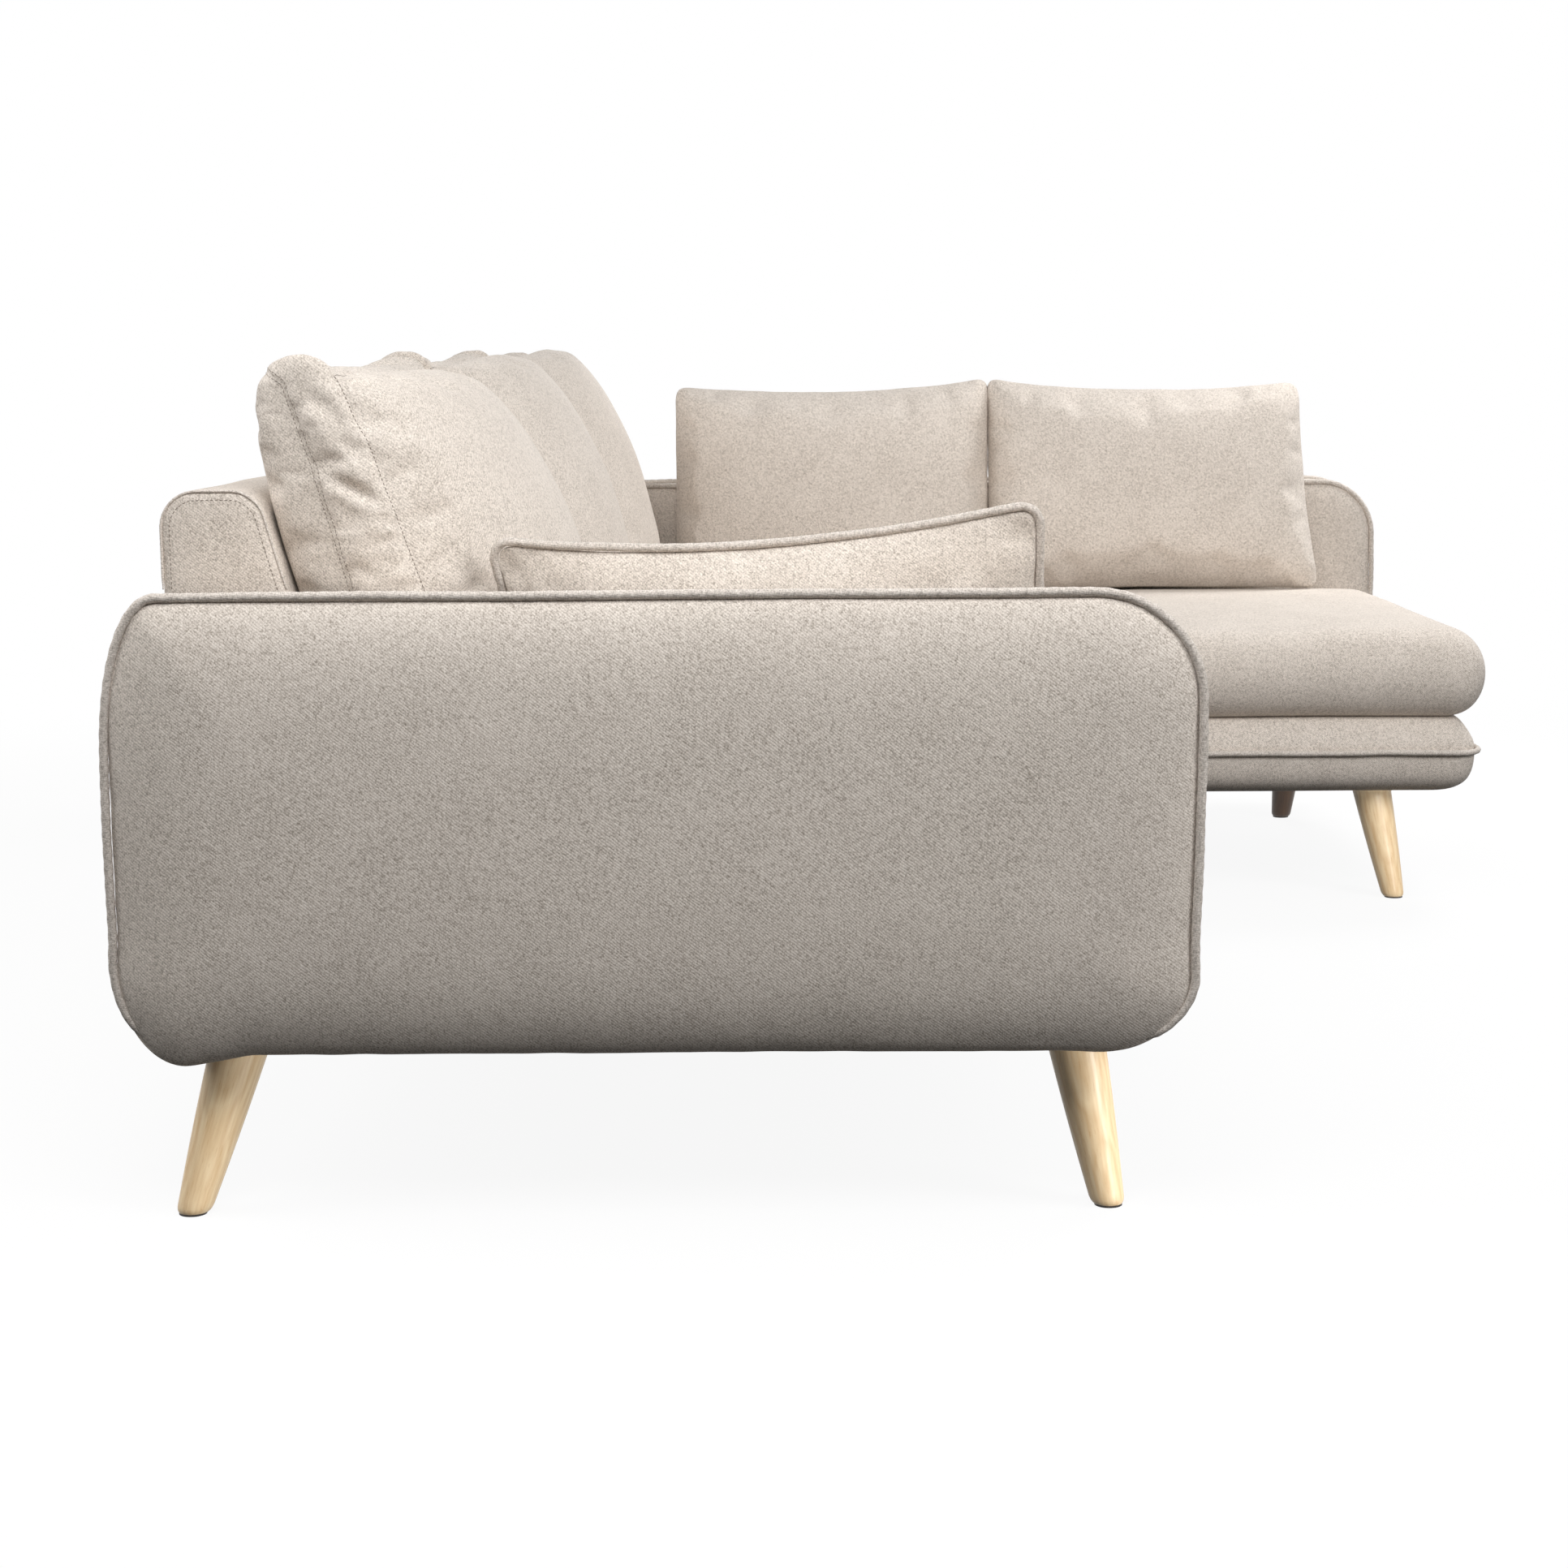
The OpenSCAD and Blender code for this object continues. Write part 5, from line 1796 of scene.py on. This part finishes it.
@dataclass
class Leg:
    """A turned leg: slim taper with a soft foot edge and a thin collar under the cover."""

    node: str
    # dark gives the leg the dark brown copy of the oak, painted shade for a leg in the sofa's shadow.
    dark: bool = False
    rows: int = 26
    around: int = 40
    collar: float = 0.0012
    collar_high: float = 0.007
    foot_round: float = 0.0022
    foot_high: float = 0.006
    belly: float = 0.0009
    bore: float = 0.008

    def ends(self) -> list[tuple[Points, float]]:
        """Reads both ends of the leg from its solid, without the bores in them.

        Returns:
            The middle and the radius of its foot, then of its head.
        """
        points = np.array([v.co for v in frame["nodes"][self.node].data.vertices])
        found = []
        for level in (points[:, 2].min(), points[:, 2].max()):
            ring = points[np.abs(points[:, 2] - level) < 1e-5]
            ring = ring[np.linalg.norm(ring[:, :2] - ring[:, :2].mean(axis=0), axis=1) > self.bore]
            middle = (ring.min(axis=0) + ring.max(axis=0)) / 2
            found.append((middle, np.linalg.norm(ring[:, :2] - middle[:2], axis=1).min()))
        return found

    def turning(self, height: float, foot_r: float, head_r: float) -> list[Pair]:
        """Draws the leg as it is turned.

        Args:
            height: height of the leg.
            foot_r: radius of its foot.
            head_r: radius of its head.

        Returns:
            A height above the foot and a radius for each ring.
        """
        below_top = np.array([self.collar_high, self.collar_high - 0.001, 0.001, 0.0])
        levels = np.concatenate([self.foot_high * np.array([0, 0.1, 0.7 / 3, 0.5, 1]),
                                 np.linspace(0.012, height - 0.012, self.rows), height - below_top])
        rows = []
        for rise in levels:
            share = rise / height
            radius = foot_r + (head_r - foot_r) * share + self.belly * math.sin(math.pi * share)
            if rise < self.foot_high:
                radius -= self.foot_round * (1 - rise / self.foot_high) ** 2
            if rise > height - self.collar_high + 0.0005:
                radius += self.collar
            rows.append((rise, radius))
        return rows

    def faces(self, count: int) -> list[tuple[int, ...]]:
        """Joins the rings, and closes both ends.

        Args:
            count: how many rings there are.

        Returns:
            The points of each face.
        """
        around = self.around
        made = [(j * around + k, j * around + (k + 1) % around, (j + 1) * around + (k + 1) % around,
                 (j + 1) * around + k) for j in range(count - 1) for k in range(around)]
        made.append(tuple(range(around))[::-1])
        made.append(tuple((count - 1) * around + k for k in range(around)))
        return made

    def build(self, shop: Shop) -> bpy.types.Object:
        """Makes the leg in place of its solid.

        Args:
            shop: the finishes.

        Returns:
            The leg.
        """
        (foot, foot_r), (head, head_r) = self.ends()
        lean = head - foot
        slope = np.linalg.norm(lean[:2]) / lean[2]
        direction = lean[:2] / np.linalg.norm(lean[:2])
        stretch = math.sqrt(1 + slope * slope)
        turn = np.linspace(0, 2 * math.pi, self.around, endpoint=False)
        unit = np.stack([np.cos(turn), np.sin(turn)], axis=1)
        along = unit @ direction
        oval = unit + (stretch - 1) * along[:, None] * direction
        rings, local = [], []
        for rise, radius in self.turning(lean[2], foot_r, head_r):
            middle = foot + lean * rise / lean[2]
            rings.append(np.column_stack([middle[:2] + radius * oval, np.full(self.around, middle[2])]))
            local.append(np.column_stack([radius * unit, np.full(self.around, rise)]))
        count = len(rings)
        # A leg marked dark gets painted shade: the dark brown copy of the same oak.
        wood = shop.dark_oak if self.dark else shop.oak
        piece = new_object(self.node + "_turned", np.vstack(rings), self.faces(count), wood)
        grain = piece.data.attributes.new("grain", "FLOAT_VECTOR", "POINT")
        places = np.vstack(local) + np.array([len(self.node) * 0.13, 0.07, 0.0])
        grain.data.foreach_set("vector", places.astype(np.float32).ravel())
        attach(piece, SOFA)
        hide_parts(self.node)
        log.info("%s: %d rings", piece.name, count)
        return piece


@dataclass(frozen=True)
class Lamp:
    """A large square lamp: its place, the point that it looks at, its side and its power."""

    name: str
    at: tuple[float, float, float]
    aim: tuple[float, float, float]
    side: float
    power: float

    def build(self) -> bpy.types.Object:
        """Makes the lamp.

        Returns:
            Its object.
        """
        data = bpy.data.lights.new(self.name, "AREA")
        data.shape = "SQUARE"
        data.size = self.side
        data.energy = self.power
        lamp = bpy.data.objects.new(self.name, data)
        bpy.context.scene.collection.objects.link(lamp)
        lamp.location = self.at
        lamp.rotation_euler = (Vector(self.aim) - Vector(self.at)).to_track_quat("-Z", "Y").to_euler()
        return lamp


@dataclass(frozen=True)
class Studio:
    """Pale floor, soft lights and the camera of the photograph."""

    camera_at: tuple[float, float, float] = (-3.7700, 0.1898, 0.8081)
    yaw: float = 0.259
    pitch: float = 8.682
    roll: float = -0.366
    lens: float = 63.04
    world_light: float = 0.11
    floor_bounce: float = 0.06
    floor_glow: float = 0.92
    floor_near: float = 1.7
    floor_far: float = 3.4
    floor_reach: float = 30.0
    lamps: tuple[Lamp, ...] = (
        Lamp("overhead", (-2.2, 0.4, 2.1), (-1.0, 0.3, 0.5), 1.2, 32.0),
        Lamp("right", (-2.15, -2.8, 1.9), (0.6, 0.0, 0.4), 1.6, 62.0),
        Lamp("front", (-1.2, -1.5, 1.8), (-0.5, 0.5, 0.7), 0.7, 4.0),
        Lamp("rear", (-0.8, 3.4, 2.6), (0.0, 0.4, 0.5), 2.4, 76.0),
        Lamp("canopy", (1.3, -1.5, 1.9), (0.7, -0.7, 0.45), 0.8, 29.0),
        Lamp("far", (3.8, 0.0, 0.9), (1.2, 0.0, 0.4), 1.6, 60.0))
    leg_lamp: Lamp = Lamp("leg_light", (-2.6, -1.8, 0.3), (-0.8, 0.1, 0.1), 0.5, 36.0)

    def build(self) -> None:
        """Makes all of it, apart from the lamp of the legs."""
        self._camera()
        self._world()
        self._floor()
        for lamp in self.lamps:
            lamp.build()
        bpy.context.scene.view_settings.view_transform = "Standard"

    def light_legs(self, legs: Sequence[bpy.types.Object]) -> None:
        """Adds a lamp for the legs alone, as the sofa's own shadow would leave them dark.

        Args:
            legs: the pieces that it lights.
        """
        lamp = self.leg_lamp.build()
        lit = bpy.data.collections.new("lit_legs")
        for leg in legs:
            lit.objects.link(leg)
        lamp.light_linking.receiver_collection = lit

    def _camera(self) -> None:
        """Makes the camera at the photograph's viewpoint."""
        data = bpy.data.cameras.new("camera")
        data.lens = self.lens
        data.sensor_width = 36.0
        data.clip_end = 100.0
        camera = bpy.data.objects.new("camera", data)
        bpy.context.scene.collection.objects.link(camera)
        yaw, pitch, roll = (math.radians(a) for a in (self.yaw, self.pitch, self.roll))
        ahead = Vector((math.cos(yaw) * math.cos(pitch), math.sin(yaw) * math.cos(pitch), -math.sin(pitch)))
        right = Vector((math.sin(yaw), -math.cos(yaw), 0.0))
        up = right.cross(ahead)
        rolled_right = math.cos(roll) * right + math.sin(roll) * up
        rolled_up = -math.sin(roll) * right + math.cos(roll) * up
        turned = Matrix((rolled_right, rolled_up, -ahead)).transposed().to_4x4()
        camera.matrix_world = Matrix.Translation(self.camera_at) @ turned
        bpy.context.scene.camera = camera

    def _world(self) -> None:
        """Lights evenly from all round, and shows white to the camera and in reflections."""
        tree = Tree("studio", world=True)
        bpy.context.scene.world = tree.owner
        seen, gloss, _ = self._rays(tree)
        soft = {"Color": (1.0, 0.99, 0.98, 1.0), "Strength": self.world_light}
        white = {"Color": (1.0, 1.0, 1.0, 1.0), "Strength": 1.0}
        shown = tree.node("ShaderNodeMath", {"operation": "MAXIMUM"}, {0: seen, 1: gloss})
        lights = [tree.node("ShaderNodeBackground", {}, inputs) for inputs in (soft, white)]
        mixed = tree.node("ShaderNodeMixShader", {}, {0: shown, 1: lights[0], 2: lights[1]})
        tree.raw("ShaderNodeOutputWorld", {}, {"Surface": mixed})

    @staticmethod
    def _rays(tree: Tree) -> list[Field]:
        """Tells apart the rays that show something: from the camera, mirrored or let through.

        Args:
            tree: the tree that asks.

        Returns:
            For each kind, one where a ray is of that kind, else zero.
        """
        path = tree.raw("ShaderNodeLightPath", {}, {})
        return [Field(tree, path.outputs[f"Is {kind} Ray"]) for kind in ("Camera", "Glossy", "Transmission")]

    def _floor(self) -> None:
        """Makes the pale floor, which turns into the white of the background far away."""
        tree = Tree("floor_paint")
        place = tree.place()
        seen, gloss, through = self._rays(tree)
        shown = (seen + gloss + through) > 0.5
        painted = tree.mix(tree.noise(place, 3.0, 2.0), (0.94, 0.94, 0.94, 1.0), (0.97, 0.97, 0.97, 1.0))
        colour = tree.mix(shown, (self.floor_bounce,) * 3 + (1.0,), painted)
        paint = tree.node("ShaderNodeBsdfDiffuse", {}, {"Color": colour})
        glow = tree.node("ShaderNodeEmission", {}, {"Color": (1.0, 1.0, 1.0, 1.0), "Strength": 1.0})
        away = tree.node("ShaderNodeVectorMath", {"operation": "LENGTH"}, {0: place}, "Value")
        limits = {"Value": away, "From Min": self.floor_near, "From Max": self.floor_far,
                  "To Min": self.floor_glow, "To Max": 1.0}
        far = tree.node("ShaderNodeMapRange", {"interpolation_type": "SMOOTHSTEP"}, limits, "Result")
        mixed = tree.node("ShaderNodeMixShader", {}, {0: shown * far, 1: paint, 2: glow})
        tree.raw("ShaderNodeOutputMaterial", {}, {"Surface": mixed})
        reach = self.floor_reach
        corners = np.array([(-reach, -reach, 0), (reach, -reach, 0), (reach, reach, 0), (-reach, reach, 0)])
        new_object("floor", corners, [(0, 1, 2, 3)], tree.owner)


@dataclass
class Sofa:
    """The whole sofa, built in the order in which it is put together."""

    pillow_lean: float = 10.0
    lumbar_lean: float = 15.0
    lumbar_turn: float = 4.5

    def build(self) -> list[bpy.types.Object]:
        """Makes every piece.

        Returns:
            The legs, which have a lamp of their own.
        """
        shop = Shop()
        shop.dress_nodes()
        # The long arm's front leg gets painted shade: dark brown oak stands in for the sofa's shadow over
        # it.
        legs = [Leg(node, dark=node == "long_arm_front_leg").build(shop) for node in frame["nodes"]
                if node.endswith("_leg")]
        Base("run", seed=1.0, free_side=False, nu=60, nv=40).build(shop)
        Base("chaise", seed=2.0, free_side=True, nu=48, nv=80, front_out=0.004).build(shop)
        Arm("short_arm", outward=-1.0, seed=3.0, nu=92).build(shop)
        Arm("long_arm", outward=1.0, seed=4.0, nu=132, round_top_front=(0.088, 0.088),
            end_bow=0.005).build(shop)
        run_back = BackRest("run", seed=5.0, rows=80)
        BackEndSeam().build(shop, run_back, run_back.build(shop))
        BackRest("chaise", seed=6.0, rows=52).build(shop)
        SeatPad("run_seat_pad_near", seed=7.0, nu=50, nv=56).build(shop)
        SeatPad("run_seat_pad_far", seed=8.0, nu=50, nv=56).build(shop)
        SeatPad("chaise_seat_pad", seed=9.0, nu=56, nv=84, front_out=0.007).build(shop)
        creases = (Crease((-1.1, 0.671, 0.793), (-1.1, 0.618, 0.750), 0.0095, 0.0095),
                   Crease((-1.1, 0.655, 0.710), (-1.1, 0.583, 0.674), 0.0075, 0.0060),
                   Crease((-1.1, 0.634, 0.742), (-1.1, 0.598, 0.720), 0.0050, 0.0075),
                   Crease((-1.1, 0.600, 0.665), (-1.1, 0.562, 0.656), 0.0050, 0.0055),
                   Crease((-1.09, 0.612, 0.772), (-1.03, 0.560, 0.725), 0.0070, 0.0120))
        BackCushion("near", seed=11.0, plump=0.85, folds=creases, nv=70).build(shop)
        BackCushion("middle", seed=12.0, plump=1.20, height=0.384, front_swell=0.115).build(shop)
        BackCushion("far", seed=13.0, plump=1.40, height=0.389, front_swell=0.110).build(shop)
        self._chaise_pillows(shop)
        self._lumbar(shop)
        return legs

    def _chaise_pillows(self, shop: Shop) -> None:
        """Leans the two pillows against the long arm.

        Args:
            shop: the finishes.
        """
        facing = rotation(-90, "Z") @ rotation(-self.pillow_lean, "X")
        ears = {"rear": ((0, 0), (0, 0), (0.003, 0.014), (0, 0.001)),
                "front": ((0, 0), (0, 0), (-0.002, 0.003), (-0.003, 0.014))}
        for side, seed, flare in (("rear", 21.0, 0.0), ("front", 22.0, 0.030)):
            node = "chaise_pillow_" + side
            low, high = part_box(node)
            pillow = Pillow(node, side + "_pillow", seed, width=0.5412, height=0.358, thick=0.164,
                            draw_w=0.0005, draw_foot=0.03, draw_top=0.055, ears=ears[side], flare=flare)
            pillow.build(shop, facing, (low + high) / 2)

    def _lumbar(self, shop: Shop) -> None:
        """Leans the piped lumbar pillow against the short arm.

        Args:
            shop: the finishes.
        """
        facing = rotation(90, "Z") @ rotation(-self.lumbar_lean, "X") @ rotation(self.lumbar_turn, "Y")
        low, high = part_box("lumbar_pillow")
        middle = (low + high) / 2
        pillow = Pillow("lumbar_pillow", "lumbar", 23.0, width=0.5274, height=0.2114, thick=0.090,
                        draw_w=0.02, draw_foot=0.10, draw_top=0.165, corner=0.020, nv=30,
                        ears=((0, 0), (0, 0), (0.008, 0.010), (0, 0.002)), steepness=0.75,
                        padding=Padding(pressure=1.5, most=0.003, bending=1.0))
        cover = pillow.build(shop, facing, middle)
        ring = lifted(pillow.edge(cover.form, PIPE_LAY), Plane.XZ, 0.0)
        line = ring @ np.array(facing.to_3x3()).T + np.array(middle)
        face = facing.to_3x3() @ Vector((0, 1, 0))
        tube = Cord().sweep("lumbar_cord", line, tuple(face), 24.0, True, shop.piping)
        Trim.fix(tube, "lumbar", "lumbar_piping")


def main() -> None:
    """Builds the studio and the sofa, and reports the pieces."""
    logging.basicConfig(level=logging.INFO, format="%(name)s: %(message)s")
    studio = Studio()
    studio.build()
    studio.light_legs(Sofa().build())


if __name__ == "__main__":
    main()
